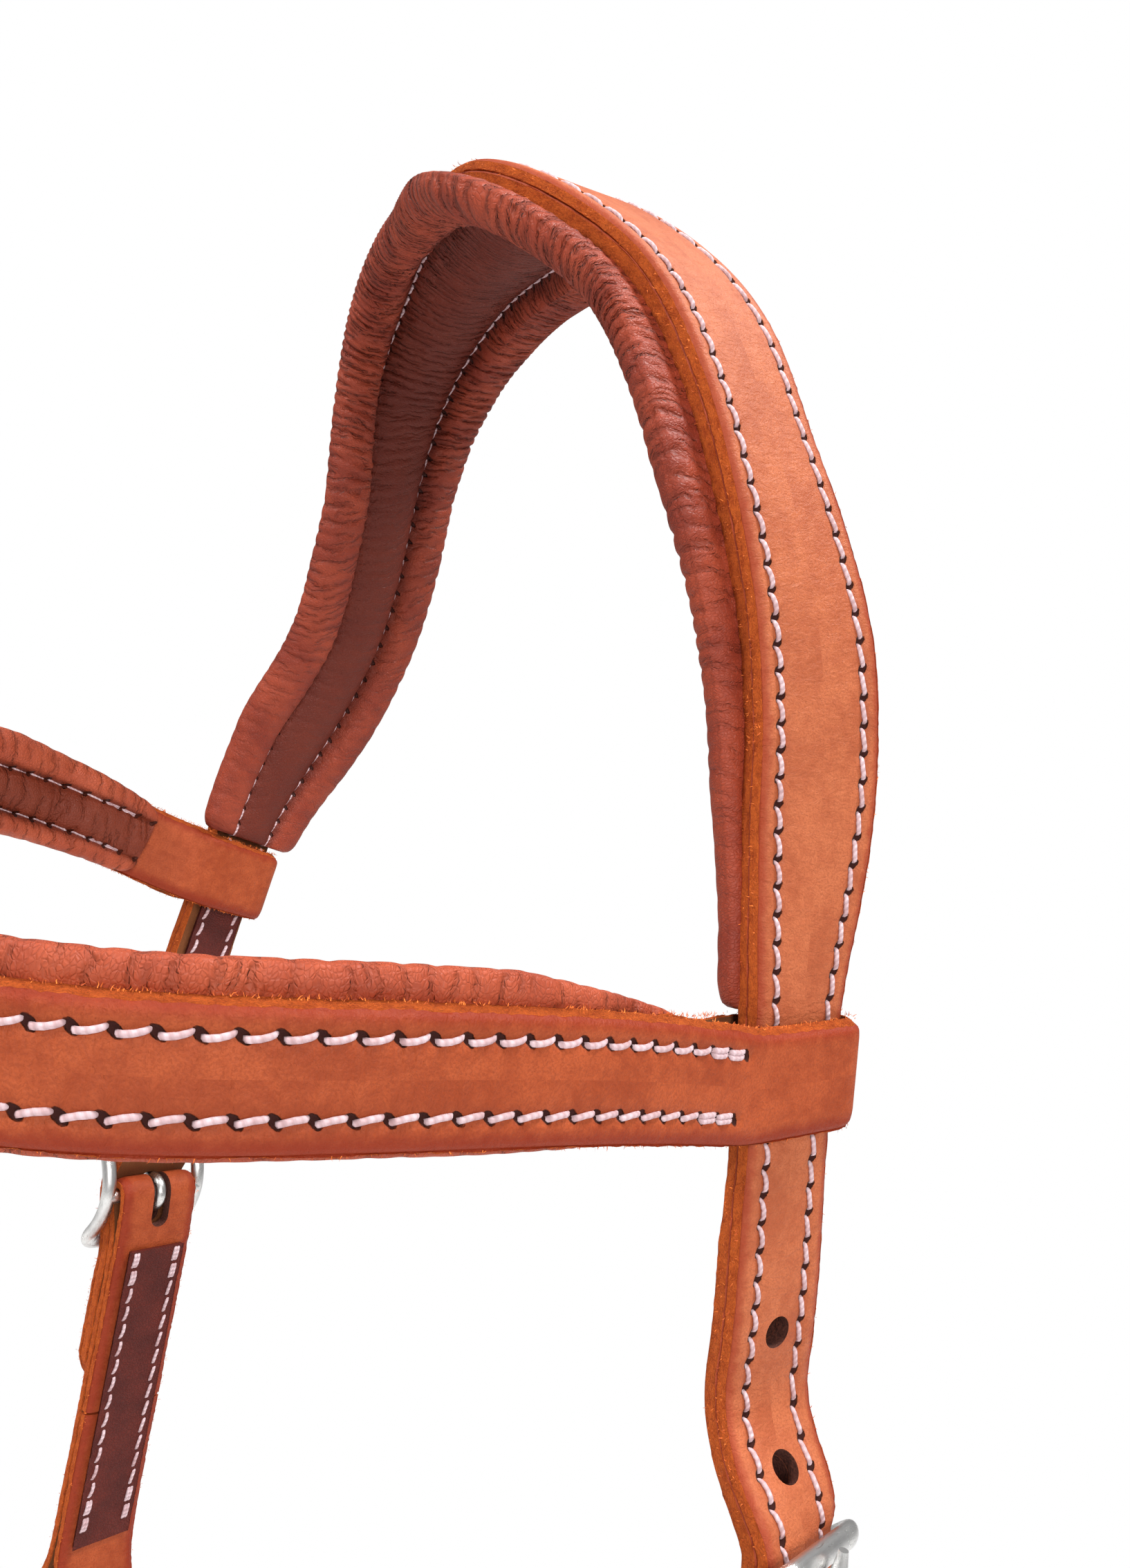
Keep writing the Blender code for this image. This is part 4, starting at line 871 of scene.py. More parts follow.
def pad_skin(name, line, rows, sides, height, seam, top, finish, sewn, depth, seed, poll=None, reach=0.0):
    """A pad in three sewn channels whose rolled sides stand out beyond the strap."""
    roll = spline(ROLL, ROLL_COLUMNS)[0]
    t = np.linspace(0, 1, MIDDLE_COLUMNS)
    middle = 0.94 * np.sin(math.pi * t) ** 0.7
    size = len(line.points)
    rows, minus, plus, height = (
        np.broadcast_to(np.asarray(v, float), (size,))[:, None] for v in (rows, *sides, height)
    )
    swell = height - seam
    up = roll[1:, 1][None]
    outs = np.where(up >= 0, -seam - up * swell, -seam * (1 + up))
    acrosses = rows / 2 + roll[1:, 0][None] * plus
    others = rows / 2 + roll[1:, 0][None] * minus
    mid_across = (t[None] - 0.5) * rows
    mid_out = -seam - middle[None] * swell
    flat = np.concatenate([rows / 4, -rows / 4], axis=1)
    across = np.concatenate([mid_across, acrosses, flat, -others[:, ::-1]], axis=1)
    out = np.concatenate([mid_out, outs, 0 * flat, outs[:, ::-1]], axis=1) + top
    count, inside = counts(line, sewn)
    body = np.where(out - top < -0.1 * MM, 1.0, 0.6)
    bent, fade = pulls(across, count, seed) if poll is None else creases(line, across, poll, reach, seed)
    fold = fade * (0.5 + 0.5 * np.cos(2 * math.pi * bent)) ** 2
    fold = fold * noise2(np.round(bent) * 1.7, across / (5 * MM), seed + 4)
    before, after = (np.roll(values, 1, 1) - np.roll(values, -1, 1) for values in (across, out))
    span = np.maximum(np.hypot(before, after), 1e-9)
    normal = after / span, -before / span
    facing = np.sign(normal[0] * across + normal[1] * (out - out.mean(1)[:, None]))
    off_row = np.abs(across) - rows / 2
    off_seam = np.clip(np.abs(off_row) / SEAM_REACH, 0, 1)
    fold = fold * body * off_seam
    flesh = 0.25 * MM * wobble2(line.at[:, None] / (11 * MM), across / (8 * MM) + 30, seed + 2)
    push = facing * (depth * fold - flesh * off_seam)
    across = across - normal[0] * push
    out = out - normal[1] * push
    near = np.exp(-(((np.abs(across) - rows / 2) / (1.3 * MM)) ** 2)) * (out < top - 0.5 * MM)
    out = out + near * inside[:, None] * SEAM_PULL * np.cos(2 * math.pi * count)[:, None]
    signs = np.where(np.roll(mid_across, -1, 1)[0][:-1] > 1e-6, 1.0, -1.0)
    signs = np.concatenate([signs, np.ones(len(up[0]) + 1), -np.ones(len(up[0]) + 2)])[: across.shape[1]]
    row = rows[:, 0] / 2
    edge = row + PAD_SHADE_REACH
    return skin(name, line, across, out, fold, signs, row, finish, count, inside, edge, (bent, fade))


def stitches(name, line, rows, sewn, level, turned=1, doubled=0, lift=1.0):
    """Both rows of thread on a face whose height is level: turned is 1 outside and -1 inside."""
    start, number = sewn
    runs = []
    for sign in (-1, 1):
        for k in range(number):
            pair = k < doubled or k >= number - doubled
            runs += [(sign, k, shift) for shift in ((-PAIR_SHIFT, PAIR_SHIFT) if pair else (0.0,))]
    sign, k, shift = (np.array(runs)[:, i][:, None] for i in range(3))
    jitter = wobble2(k * 3.7, sign * 5 + 8, 2)
    t = STITCH_PLACES[None]
    at = start + (k + 0.07 + 0.86 * t + 0.03 * jitter) * PITCH
    swing = STITCH_SLANT * (1 - 2 * t) - sign * STITCH_BOW * np.sin(math.pi * t) + 0.1 * jitter
    across = sign * rows(at) / 2 + (swing * np.where(shift == 0, 1, 0.5) + shift) * MM
    out = level(at) + turned * (STITCH_LIFTS[None] * lift + 0.06 * MM * jitter)
    points, side, face = frames(line, at)
    centre = points + across[..., None] * side + out[..., None] * face
    turns = np.linspace(0, 2 * math.pi, THREAD_SIDES + 1)[:-1]
    wide = THREAD * (1 - 0.25 * (np.abs(t - 0.5) > 0.45))
    ring = np.cos(turns)[:, None] * side[:, :, None] + 0.85 * np.sin(turns)[:, None] * face[:, :, None]
    cords = centre[:, :, None] + wide[..., None, None] * ring
    shape = cords.shape[:3]
    mesh = bpy.data.meshes.new(name)
    mesh.from_pydata(cords.reshape(-1, 3).tolist(), [], round_quads(shape))
    u = np.broadcast_to((at / MM)[:, :, None], shape)
    v = np.broadcast_to(np.arange(THREAD_SIDES) / THREAD_SIDES, shape)
    set_map(mesh, "place", corner_pairs(np.stack([u, v], -1), np.stack([u, v + 1 / THREAD_SIDES], -1)))
    mesh.shade_smooth()
    made = placed(name, mesh, FINISH["thread"])
    face_out(mesh)
    return made


def fuzz(name, line, half, low, high, density, seed):
    """Loose fibres that stand out of a strap's raw edges, so many to a metre."""
    draw = np.random.default_rng(seed)
    number = int(line.at[-1] * density)
    at = draw.uniform(0.0, line.at[-1], number)
    sign = draw.choice([-1.0, 1.0], number)
    clump = noise2(at / (3 * MM), sign * 4 + seed, 6)
    keep = draw.random(number) < 0.25 + 1.1 * clump**2
    at, sign = at[keep], sign[keep]
    number = len(at)
    points, side, face = frames(line, at)
    along = np.cross(side, face)
    base = points + (sign * (half(at) - 0.05 * MM))[:, None] * side
    base = base + draw.uniform(low, high, number)[:, None] * face
    length = draw.uniform(*FIBRE_LENGTHS, number)[:, None] * MM
    lean = draw.normal(0, 0.7, (number, 2))
    way = unit(sign[:, None] * side + lean[:, :1] * along + 0.6 * lean[:, 1:] * face)
    bend = unit(way + draw.normal(0, 0.5, (number, 3)))
    thick = FIBRE_HALF_BREADTH * MM * unit(np.cross(way, draw.normal(0, 1, (number, 3))))
    middle = base + 0.55 * length * way
    tip = middle + 0.5 * length * bend
    corners = base - thick, base + thick, middle + 0.7 * thick, middle - 0.7 * thick, tip
    index = len(corners) * np.arange(number)[:, None]
    faces = [*(index + [[0, 1, 2, 3]]).tolist(), *(index + [[3, 2, 4]]).tolist()]
    mesh = bpy.data.meshes.new(name)
    mesh.from_pydata(np.stack(corners, 1).reshape(-1, 3).tolist(), [], faces)
    return placed(name, mesh, FINISH["fibre"])


def tube(name, points, wide, deep, flat_way, closed=False, sides=16):
    """A bent wire of oval section, wide across flat_way and deep along it."""
    points = np.array(points, float)
    if closed:
        along = unit(np.roll(points, -1, 0) - np.roll(points, 1, 0))
    else:
        along = Ribbon(points, ODD_WAY).along
    face = np.broadcast_to(np.asarray(flat_way, float), points.shape)
    face = unit(face - (face * along).sum(1)[:, None] * along)
    side = np.cross(along, face)
    turns = np.linspace(0, 2 * math.pi, sides + 1)[:-1]
    wide, deep = (np.broadcast_to(size, (len(points),))[:, None, None] for size in (wide, deep))
    ring = np.cos(turns)[None, :, None] * wide * side[:, None]
    ring = ring + np.sin(turns)[None, :, None] * deep * face[:, None]
    grid = points[:, None] + ring
    if closed:
        grid = np.concatenate([grid, grid[:1]])
    u = np.broadcast_to((lengths(grid[:, 0]) / MM)[:, None], grid.shape[:2])
    v = np.broadcast_to(np.arange(sides)[None] * 0.6, grid.shape[:2])
    maps = {"place": (np.stack([u, v], -1), np.stack([u, v + 0.6], -1))}
    made = grid_mesh(name, grid, not closed, maps, FINISH["metal"])
    if closed:
        face_out(made.data, DOUBLED)
    return made


def join(name, pieces):
    """Several meshes as one piece."""
    bm = bmesh.new()
    for piece in pieces:
        bm.from_mesh(piece.data)
    mesh = kept(bm, name)
    finish = pieces[0].data.materials[0]
    for piece in pieces:
        bpy.data.objects.remove(piece, do_unlink=True)
    made = placed(name, mesh, finish)
    mesh.shade_smooth()
    return made


def punch(target, cutters):
    """Cuts holes through a strap and keeps the result as its mesh."""
    bm = bmesh.new()
    for cutter in cutters:
        bm.from_mesh(cutter)
        bpy.data.meshes.remove(cutter)
    bmesh.ops.recalc_face_normals(bm, faces=bm.faces[:])
    # The punch's faces become the holes' walls, in the finish painted dark as shade
    tool = placed("punch", kept(bm, "punch"), FINISH["hole"])
    modifier = target.modifiers.new("holes", "BOOLEAN")
    modifier.operation, modifier.solver, modifier.material_mode = "DIFFERENCE", "EXACT", "TRANSFER"
    modifier.object = tool
    bpy.context.view_layer.update()
    cut = bpy.data.meshes.new_from_object(target.evaluated_get(bpy.context.evaluated_depsgraph_get()))
    target.modifiers.clear()
    target.data = cut
    cut.set_sharp_from_angle(angle=math.radians(SHARP_AT_HOLES))
    bpy.data.objects.remove(tool, do_unlink=True)


def peg(centre, axis, depth=PUNCH_DEPTH, sides=40):
    """A round punch as a mesh."""
    bm = bmesh.new()
    radius = HOLE_RADIUS
    bmesh.ops.create_cone(bm, cap_ends=True, segments=sides, radius1=radius, radius2=radius, depth=depth)
    axis = unit(np.asarray(axis, float))
    first = unit(np.cross(axis, ODD_WAY))
    bm.transform(basis(first, np.cross(axis, first), axis, centre))
    return kept(bm, "peg")


def tongue_peg(lap):
    """The punch for the hole that the buckle's tongue goes through."""
    turn, shank = tongue_line()
    start, end = lap.at(*turn[-1]), lap.at(*shank[0])
    return peg(start + HOLE_SHARE * (end - start), end - start, HOLE_REACH_SHARE * np.linalg.norm(end - start))


def slot_peg(lap):
    """A slot punch with a round lower end, through both sides of the chape's fold."""
    low, high, half = -lap.fold - CUT_OVERRUN, SLOT_BELOW_BAR, SLOT_WIDTH / 2
    turns = np.linspace(math.pi / 2, -math.pi / 2, 13)
    outline = [(low, -half), (low, half)]
    outline += [(high - half + half * math.cos(turn), half * math.sin(turn)) for turn in turns]
    deep = lap.fold + CUT_OVERRUN
    bm = bmesh.new()
    rings = [[bm.verts.new(lap.at(down, out, across)) for down, across in outline] for out in (-deep, deep)]
    for k in range(len(outline)):
        after = (k + 1) % len(outline)
        bm.faces.new((rings[0][k], rings[0][after], rings[1][after], rings[1][k]))
    bm.faces.new(rings[0])
    bm.faces.new(rings[1])
    bmesh.ops.recalc_face_normals(bm, faces=bm.faces[:])
    return kept(bm, "slot")


DIAGONAL = 0.7071
HOLE_LONG, HOLE_SHORT = 1.06, 0.60


class Finish:
    """A material's nodes, built up from small calls."""

    def __init__(self, name):
        self.made = bpy.data.materials.new(name)
        self.made.use_nodes = True
        self.nodes, self.links = self.made.node_tree.nodes, self.made.node_tree.links
        self.shader = self.nodes["Principled BSDF"]

    def put(self, value, socket):
        if isinstance(value, bpy.types.NodeSocket):
            self.links.new(value, socket)
        elif socket.type == "RGBA" and len(value) == 3:
            socket.default_value = (*value, 1.0)
        else:
            socket.default_value = value

    def math(self, operation, *values):
        node = self.nodes.new("ShaderNodeMath")
        node.operation = operation
        for value, socket in zip(values, node.inputs):
            self.put(value, socket)
        return node.outputs[0]

    def plus(self, one, two):
        return self.math("ADD", one, two)

    def minus(self, one, two):
        return self.math("SUBTRACT", one, two)

    def times(self, one, two):
        return self.math("MULTIPLY", one, two)

    def larger(self, one, two):
        return self.math("MAXIMUM", one, two)

    def size(self, value):
        return self.math("ABSOLUTE", value)

    def map(self, name):
        """The two numbers of one of the piece's maps."""
        node, split = self.nodes.new("ShaderNodeUVMap"), self.nodes.new("ShaderNodeSeparateXYZ")
        node.uv_map = name
        self.links.new(node.outputs[0], split.inputs[0])
        return split.outputs[0], split.outputs[1]

    def vector(self, x, y, z=0.0):
        node = self.nodes.new("ShaderNodeCombineXYZ")
        for value, socket in zip((x, y, z), node.inputs):
            self.put(value, socket)
        return node.outputs[0]

    def noise(self, place, scale, detail=2.0, rough=0.5, distortion=0.0):
        node = self.nodes.new("ShaderNodeTexNoise")
        self.put(place, node.inputs["Vector"])
        settings = {"Scale": scale, "Detail": detail, "Roughness": rough, "Distortion": distortion}
        for label, value in settings.items():
            node.inputs[label].default_value = value
        return node.outputs[0]

    def cells(self, place, scale, feature="F1"):
        node = self.nodes.new("ShaderNodeTexVoronoi")
        node.feature = feature
        self.put(place, node.inputs["Vector"])
        node.inputs["Scale"].default_value = scale
        return node.outputs["Distance"]

    def cracks(self, place, scale):
        """How far a place is from the border between two cells."""
        return self.cells(place, scale, "DISTANCE_TO_EDGE")

    def step(self, value, low, high):
        """0 below low, 1 above high, smooth between. It falls instead where low is over high."""
        node = self.nodes.new("ShaderNodeMapRange")
        node.interpolation_type = "SMOOTHSTEP"
        ends = (low, high, 0.0, 1.0) if low < high else (high, low, 1.0, 0.0)
        self.put(value, node.inputs["Value"])
        for label, end in zip(("From Min", "From Max", "To Min", "To Max"), ends):
            node.inputs[label].default_value = end
        return node.outputs[0]

    def mix(self, share, one, two):
        node = self.nodes.new("ShaderNodeMix")
        node.data_type = "RGBA"
        self.put(share, node.inputs[0])
        self.put(one, node.inputs[6])
        self.put(two, node.inputs[7])
        return node.outputs[2]

    def blend(self, share, one, two):
        """A number that goes from one to two."""
        return self.plus(self.times(share, self.minus(two, one)), one)

    def bump(self, height, distance, normal=None):
        node = self.nodes.new("ShaderNodeBump")
        node.inputs["Strength"].default_value = 1.0
        node.inputs["Distance"].default_value = distance
        self.put(height, node.inputs["Height"])
        if normal is not None:
            self.put(normal, node.inputs["Normal"])
        return node.outputs[0]

    def finish(self, colour, roughness, normal, **settings):
        self.put(colour, self.shader.inputs["Base Color"])
        self.put(roughness, self.shader.inputs["Roughness"])
        self.put(normal, self.shader.inputs["Normal"])
        for label, value in settings.items():
            self.put(value, self.shader.inputs[label.replace("_", " ")])
        return self.made

    def slits(self, size=1.0):
        """1 inside the slanted holes of the two stitch rows."""
        count, off = self.map("row")
        phase = self.minus(count, self.math("ROUND", count))
        x = self.times(phase, PITCH / MM)
        along = self.times(self.plus(x, off), DIAGONAL / (HOLE_LONG * size))
        across = self.times(self.minus(x, off), DIAGONAL / (HOLE_SHORT * size))
        squares = self.plus(self.times(along, along), self.times(across, across))
        place = self.map("place")
        wobble = self.noise(self.vector(*place), 1.4, 1.0)
        squares = self.plus(squares, self.times(self.minus(wobble, 0.5), 0.9))
        return self.step(squares, 1.35, 0.75), off

    def sewn(self, colour, reach, share, dark):
        """A soft leather's colour, with painted shade beside its stitches and in their holes, and where those
        holes are.
        """
        slit, off = self.slits(0.75)
        # Painted shade in the groove beside each stitch row
        near_row = self.step(self.size(off), reach, 0.2)
        colour = self.mix(self.times(near_row, share), colour, dark)
        # Painted shade: the stitch holes are coloured near black
        return self.mix(slit, colour, SOFT_HOLE_SHADE), slit


TAN_FACE, TAN_DEEP = (0.54, 0.150, 0.060), (0.41, 0.096, 0.036)
BAND_FACE, BAND_DEEP = (0.45, 0.088, 0.026), (0.32, 0.052, 0.014)
EDGE_LIGHT, EDGE_DEEP = (0.92, 0.185, 0.030), (0.52, 0.072, 0.012)
FLESH, PORE = (0.42, 0.14, 0.05), (0.16, 0.035, 0.014)
# Painted shade along the stitch rows' grooves, and painted shade inside the stitch holes
ROW_GROOVE_SHADE, TAN_HOLE_SHADE = (0.30, 0.07, 0.025), (0.040, 0.010, 0.008)
PAD_FACE, PAD_DEEP = (0.36, 0.058, 0.025), (0.24, 0.033, 0.016)
BROW_FACE, BROW_DEEP = (0.48, 0.092, 0.038), (0.36, 0.060, 0.026)
LINING_FACE, LINING_DEEP = (0.13, 0.018, 0.012), (0.085, 0.012, 0.009)
# Painted shade inside the stitch holes of the soft leathers
SOFT_HOLE_SHADE = (0.015, 0.005, 0.004)
THREAD_FACE, THREAD_DIRT, THREAD_TWIST_SHADE = (0.74, 0.56, 0.60), (0.58, 0.38, 0.40), (0.40, 0.22, 0.22)
PLATE, PLATE_SMEAR, PLATE_SCRATCH = (0.80, 0.80, 0.79), (0.62, 0.62, 0.62), (0.33, 0.32, 0.31)
# Painted shade: a punched hole's wall, near black
WALL_SHADE_DEEP, WALL_SHADE_LIGHT = (0.050, 0.012, 0.008), (0.13, 0.035, 0.02)
FIBRE_DEEP, FIBRE_LIGHT = (0.52, 0.085, 0.016), (0.95, 0.24, 0.040)


def tan_leather(name, light, deep, reach):
    """Bridle leather: grain outside, burnished shoulders, fibrous raw edges and a napped flesh side, with
    painted shade in the stitch grooves and stitch holes.
    """
    f = Finish(name)
    along, around = f.map("place")
    inset, code = f.map("edge")
    flat = f.vector(along, around)
    clouds = f.noise(flat, 0.07, 3.0, 0.55)
    blotch = f.noise(flat, 0.45, 4.0, 0.6)
    grain = f.noise(flat, 2.6, 3.0, 0.6, 0.4)
    pores = f.step(f.cells(flat, 1.5), 0.10, 0.0)
    rare = f.step(f.noise(flat, 0.9, 2.0), 0.52, 0.68)
    wash = f.plus(f.times(clouds, 0.6), f.times(blotch, 0.4))
    colour = f.mix(f.step(wash, 0.36, 0.62), deep, light)
    colour = f.mix(f.times(f.step(grain, 0.58, 0.38), 0.45), colour, [0.8 * c for c in deep])
    colour = f.mix(f.times(pores, f.times(rare, 0.55)), colour, PORE)
    shoulder = f.step(f.plus(inset, f.times(f.minus(blotch, 0.5), 1.6)), reach, 0.28 * reach)
    colour = f.mix(f.times(shoulder, 0.80), colour, (0.78 * deep[0], 0.42 * deep[1], 0.36 * deep[2]))
    slit, off = f.slits()
    # Painted shade in the groove along each stitch row
    near_row = f.step(f.size(off), 1.1, 0.1)
    colour = f.mix(f.times(near_row, 0.35), colour, ROW_GROOVE_SHADE)
    fibre_place = f.vector(f.times(along, 0.85), f.times(around, 1.3))
    fibre = f.noise(fibre_place, 3.0, 5.0, 0.8, 0.5)
    tufts = f.noise(fibre_place, 0.6, 2.0)
    tangle = f.plus(f.times(fibre, 0.7), f.times(tufts, 0.3))
    raw_colour = f.mix(f.step(tangle, 0.36, 0.60), EDGE_DEEP, EDGE_LIGHT)
    flesh_colour = f.mix(f.step(fibre, 0.35, 0.65), [0.72 * c for c in FLESH], FLESH)
    raw = f.step(f.size(code), 0.6, 0.4)
    inner = f.step(code, -0.4, -0.6)
    colour = f.mix(raw, colour, raw_colour)
    colour = f.mix(inner, colour, flesh_colour)
    # Painted shade: the stitch holes are coloured near black
    colour = f.mix(slit, colour, TAN_HOLE_SHADE)
    rough_face = f.blend(blotch, 0.62, 0.44)
    soft = f.larger(raw, inner)
    rough = f.blend(f.larger(soft, slit), rough_face, 0.93)
    fine = f.plus(grain, f.times(pores, -0.5))
    wrinkle = f.noise(f.vector(f.times(along, 0.8), f.times(around, 0.35)), 1.0, 4.0, 0.65, 0.6)
    normal = f.bump(wrinkle, 0.00030)
    normal = f.bump(fine, 0.00013, normal)
    normal = f.bump(f.times(fibre, soft), 0.0009, normal)
    normal = f.bump(f.times(slit, -1.0), 0.0006, normal)
    return f.finish(colour, rough, normal, Specular_IOR_Level=0.22)


def pad_leather(name, light, deep):
    """Soft pad leather with a fine grain, drawn into creases that run across it, with painted shade in the
    creases, beside the stitches and over its middle.
    """
    f = Finish(name)
    along, around = f.map("place")
    inset = f.map("edge")[0]
    bent, fade = f.map("fold")
    flat = f.vector(along, around)
    clouds = f.noise(flat, 0.08, 3.0, 0.55)
    grain = f.noise(flat, 3.0, 3.0, 0.6)
    bend = f.times(f.minus(f.noise(flat, 0.30, 2.0), 0.5), 0.9)
    crease, puff = 0.0, 0.0
    for rate, lean, strength in ((1.0, 0.0, 1.0), (1.37, 0.055, 0.8)):
        phase = f.plus(f.times(bent, rate), f.times(around, lean))
        phase = f.plus(phase, bend)
        index = f.math("ROUND", phase)
        off = f.size(f.minus(phase, index))
        chance = f.vector(f.times(index, 1.7), f.plus(f.times(around, 0.16), f.times(index, 3.1)))
        keep = f.times(f.step(f.noise(chance, 1.0, 1.0), 0.40, 0.56), strength)
        crease = f.larger(crease, f.times(f.step(off, 0.17, 0.0), keep))
        puff = f.larger(puff, f.times(f.step(off, 0.5, 0.0), keep))
    crease = f.times(crease, fade)
    puff = f.times(puff, fade)
    pebble = f.step(f.cracks(f.vector(along, f.times(around, 0.75)), 1.7), 0.0, 0.22)
    dark = [0.38 * c for c in deep]
    colour = f.mix(f.step(clouds, 0.3, 0.7), deep, light)
    colour = f.mix(f.times(f.step(pebble, 0.7, 0.0), 0.16), colour, dark)
    # Painted shade in the creases
    colour = f.mix(f.times(crease, 0.62), colour, dark)
    colour, slit = f.sewn(colour, 1.5, 0.5, dark)
    # Painted shade over the pad's middle, the face turned in towards the head
    colour = f.mix(f.times(f.step(inset, 0.0, 4.5), 0.80), colour, [0.42 * c for c in deep])
    rough = f.blend(f.larger(crease, f.step(grain, 0.6, 0.3)), 0.46, 0.68)
    normal = f.bump(f.plus(f.times(puff, -0.5), f.times(crease, -0.5)), 0.0010)
    normal = f.bump(f.plus(pebble, f.times(grain, 0.5)), 0.00007, normal)
    normal = f.bump(f.times(slit, -1.0), 0.0005, normal)
    return f.finish(colour, rough, normal, Specular_IOR_Level=0.28)


def lining_leather(name, light, deep):
    """Thin dark lining leather with a fine even grain."""
    f = Finish(name)
    along, around = f.map("place")
    flat = f.vector(along, around)
    clouds = f.noise(flat, 0.12, 3.0, 0.55)
    grain = f.noise(flat, 2.4, 4.0, 0.65)
    pebble = f.step(f.cracks(flat, 1.5), 0.0, 0.2)
    dark = [0.4 * c for c in deep]
    colour = f.mix(f.step(clouds, 0.3, 0.7), deep, light)
    colour = f.mix(f.times(f.step(pebble, 0.7, 0.0), 0.3), colour, dark)
    colour, slit = f.sewn(colour, 1.2, 0.4, dark)
    normal = f.bump(f.plus(pebble, grain), 0.00010)
    normal = f.bump(f.times(slit, -1.0), 0.0005, normal)
    return f.finish(colour, f.blend(grain, 0.5, 0.7), normal, Specular_IOR_Level=0.25)


def thread_finish():
    """Waxed pale thread with its twist, with painted shade in the twist's grooves."""
    f = Finish("thread")
    along, around = f.map("place")
    twist = f.math("SINE", f.plus(f.times(along, 6.2), f.times(around, 2 * math.pi)))
    dirt = f.noise(f.vector(along, around), 0.35, 3.0)
    colour = f.mix(f.step(dirt, 0.35, 0.7), THREAD_FACE, THREAD_DIRT)
    # Painted shade in the grooves of the twist
    colour = f.mix(f.times(f.step(twist, -0.3, -1.0), 0.4), colour, THREAD_TWIST_SHADE)
    rough = f.blend(dirt, 0.5, 0.7)
    return f.finish(colour, rough, f.bump(twist, 0.00008), Specular_IOR_Level=0.35)


def metal_finish():
    """Nickel plate with fine brushing and a few scratches."""
    f = Finish("nickel")
    along, around = f.map("place")
    place = f.vector(f.times(along, 0.15), f.times(around, 2.5))
    brushed = f.noise(place, 3.0, 4.0, 0.7)
    smear = f.noise(f.vector(along, around), 0.25, 3.0)
    drawn = f.vector(f.times(along, 0.6), f.times(around, 3.0))
    scratch = f.step(f.noise(drawn, 1.1, 2.0, 0.5, 1.5), 0.64, 0.70)
    colour = f.mix(f.step(smear, 0.3, 0.7), PLATE, PLATE_SMEAR)
    colour = f.mix(f.times(scratch, 0.5), colour, PLATE_SCRATCH)
    rough = f.blend(smear, 0.20, 0.36)
    normal = f.bump(f.plus(brushed, f.times(scratch, -1.0)), 0.00004)
    return f.finish(colour, rough, normal, Metallic=1.0)


def speckled(name, scale, detail, low, high, deep, light, height):
    """A rough finish with a fine grain, for a punched hole's wall, coloured dark as painted shade, and for
    loose fibres.
    """
    f = Finish(name)
    node = f.nodes.new("ShaderNodeTexCoord")
    grain = f.noise(node.outputs["Object"], scale, detail)
    colour = f.mix(f.step(grain, low, high), deep, light)
    return f.finish(colour, f.blend(grain, 0.8, 0.95), f.bump(grain, height))


FINISH = {
    "tan": tan_leather("crown_leather", TAN_FACE, TAN_DEEP, 2.3),
    # The browband's own darker leather, also put on the cheeks as painted shade
    "band": tan_leather("band_and_shaded_cheek_leather", BAND_FACE, BAND_DEEP, 3.2),
    "brown": pad_leather("pad_leather", PAD_FACE, PAD_DEEP),
    "brow": pad_leather("brow_pad_leather", BROW_FACE, BROW_DEEP),
    "dark": lining_leather("lining_leather", LINING_FACE, LINING_DEEP),
    "thread": thread_finish(),
    "metal": metal_finish(),
    "hole": speckled("punched_wall_shade", 2500.0, 3.0, 0.3, 0.7, WALL_SHADE_DEEP, WALL_SHADE_LIGHT, 0.0002),
    "fibre": speckled("fibre", 700.0, 2.0, 0.35, 0.65, FIBRE_DEEP, FIBRE_LIGHT, 0.0001),
}

# Steps of the finely divided lines, and loose fibres to a metre
FINE_STEP, BAND_STEP, FOLD_STEP, LEG_STEP, JAW_STEP, NOSE_STEP = 0.0005, 0.0006, 0.0007, 0.0008, 0.0009, 0.001
BAND_EASE = 0.0011
CROWN_FIBRES, STRAP_FIBRES, FOLD_FIBRES, BAND_FIBRES = 5500, 4500, 5000, 9000
# Fine shape of the headpiece, whose reaches by the loops are (full this far off, then fading over)
EASE_BEHIND_POLL, EASE_REACH = 0.008, (0.050, 0.085)
LINE_EASE, TURN_EASE = 0.006, 0.012
HEAD_ROW_END = 0.009
SLACK, SLACK_REACH, FLAT_REACH = 0.0005, (0.016, 0.008), (0.020, 0.006)
HIDDEN, HIDDEN_REACH = 0.0012, (0.014, 0.003)
CROWN_SHOULDER, CROWN_LEAN = 0.0007, 0.0005
BACKING_INSET, BACKING_CORNER, PLY_SINK = 0.0002, 0.0003, 0.00003
FIBRES_BELOW_FACE = 0.0007
PAD_CLOSING, POLL_CREASE, CREASED_REACH = 0.004, 0.0009, 0.13
BEHIND_PLACES, BEHIND_SHARES = (0.02, 0.06, 0.16, 0.2), (1.0, 0.68, 0.62, 0.9)
# Fine shape of the other straps
BAND_SHOULDER, BAND_LEAN, BAND_CREASE, BAND_PAD_CLOSING = 0.0006, 0.0009, 0.0004, 0.006
BAND_SWELL_SHARES, BAND_SWELL = (3.2, 3.8), 1.3 * EDGE_SWELL
BAND_PAD_ABOVE = 0.86
NOSE_SHOULDER, NOSE_CREASE, NOSE_ROW_SHARE = 0.0006, 0.0006, 0.45
NOSE_BACKING_INSET, NOSE_BACKING_SHOULDER = 0.0003, 0.0002
JAW_OUTSIDE_ROWS, JAW_SEAM_SHARE = 0.007, 1.25
JAW_KNOT_STEP, JAW_ROW_SHARES = 0.001, (0.3, 0.8)
# Fine shape of the metal
FRAME_CORNER_COUNT, FRAME_SIDE_COUNT, FRAME_BAR_COUNT = 14, 25, 16
FRAME_DEPTH_SHARE, FRAME_SPREAD = 0.95, 0.28
TONGUE_TIP_SHARES = np.array([0.95, 0.85, 0.55])
RING_STATIONS = 120


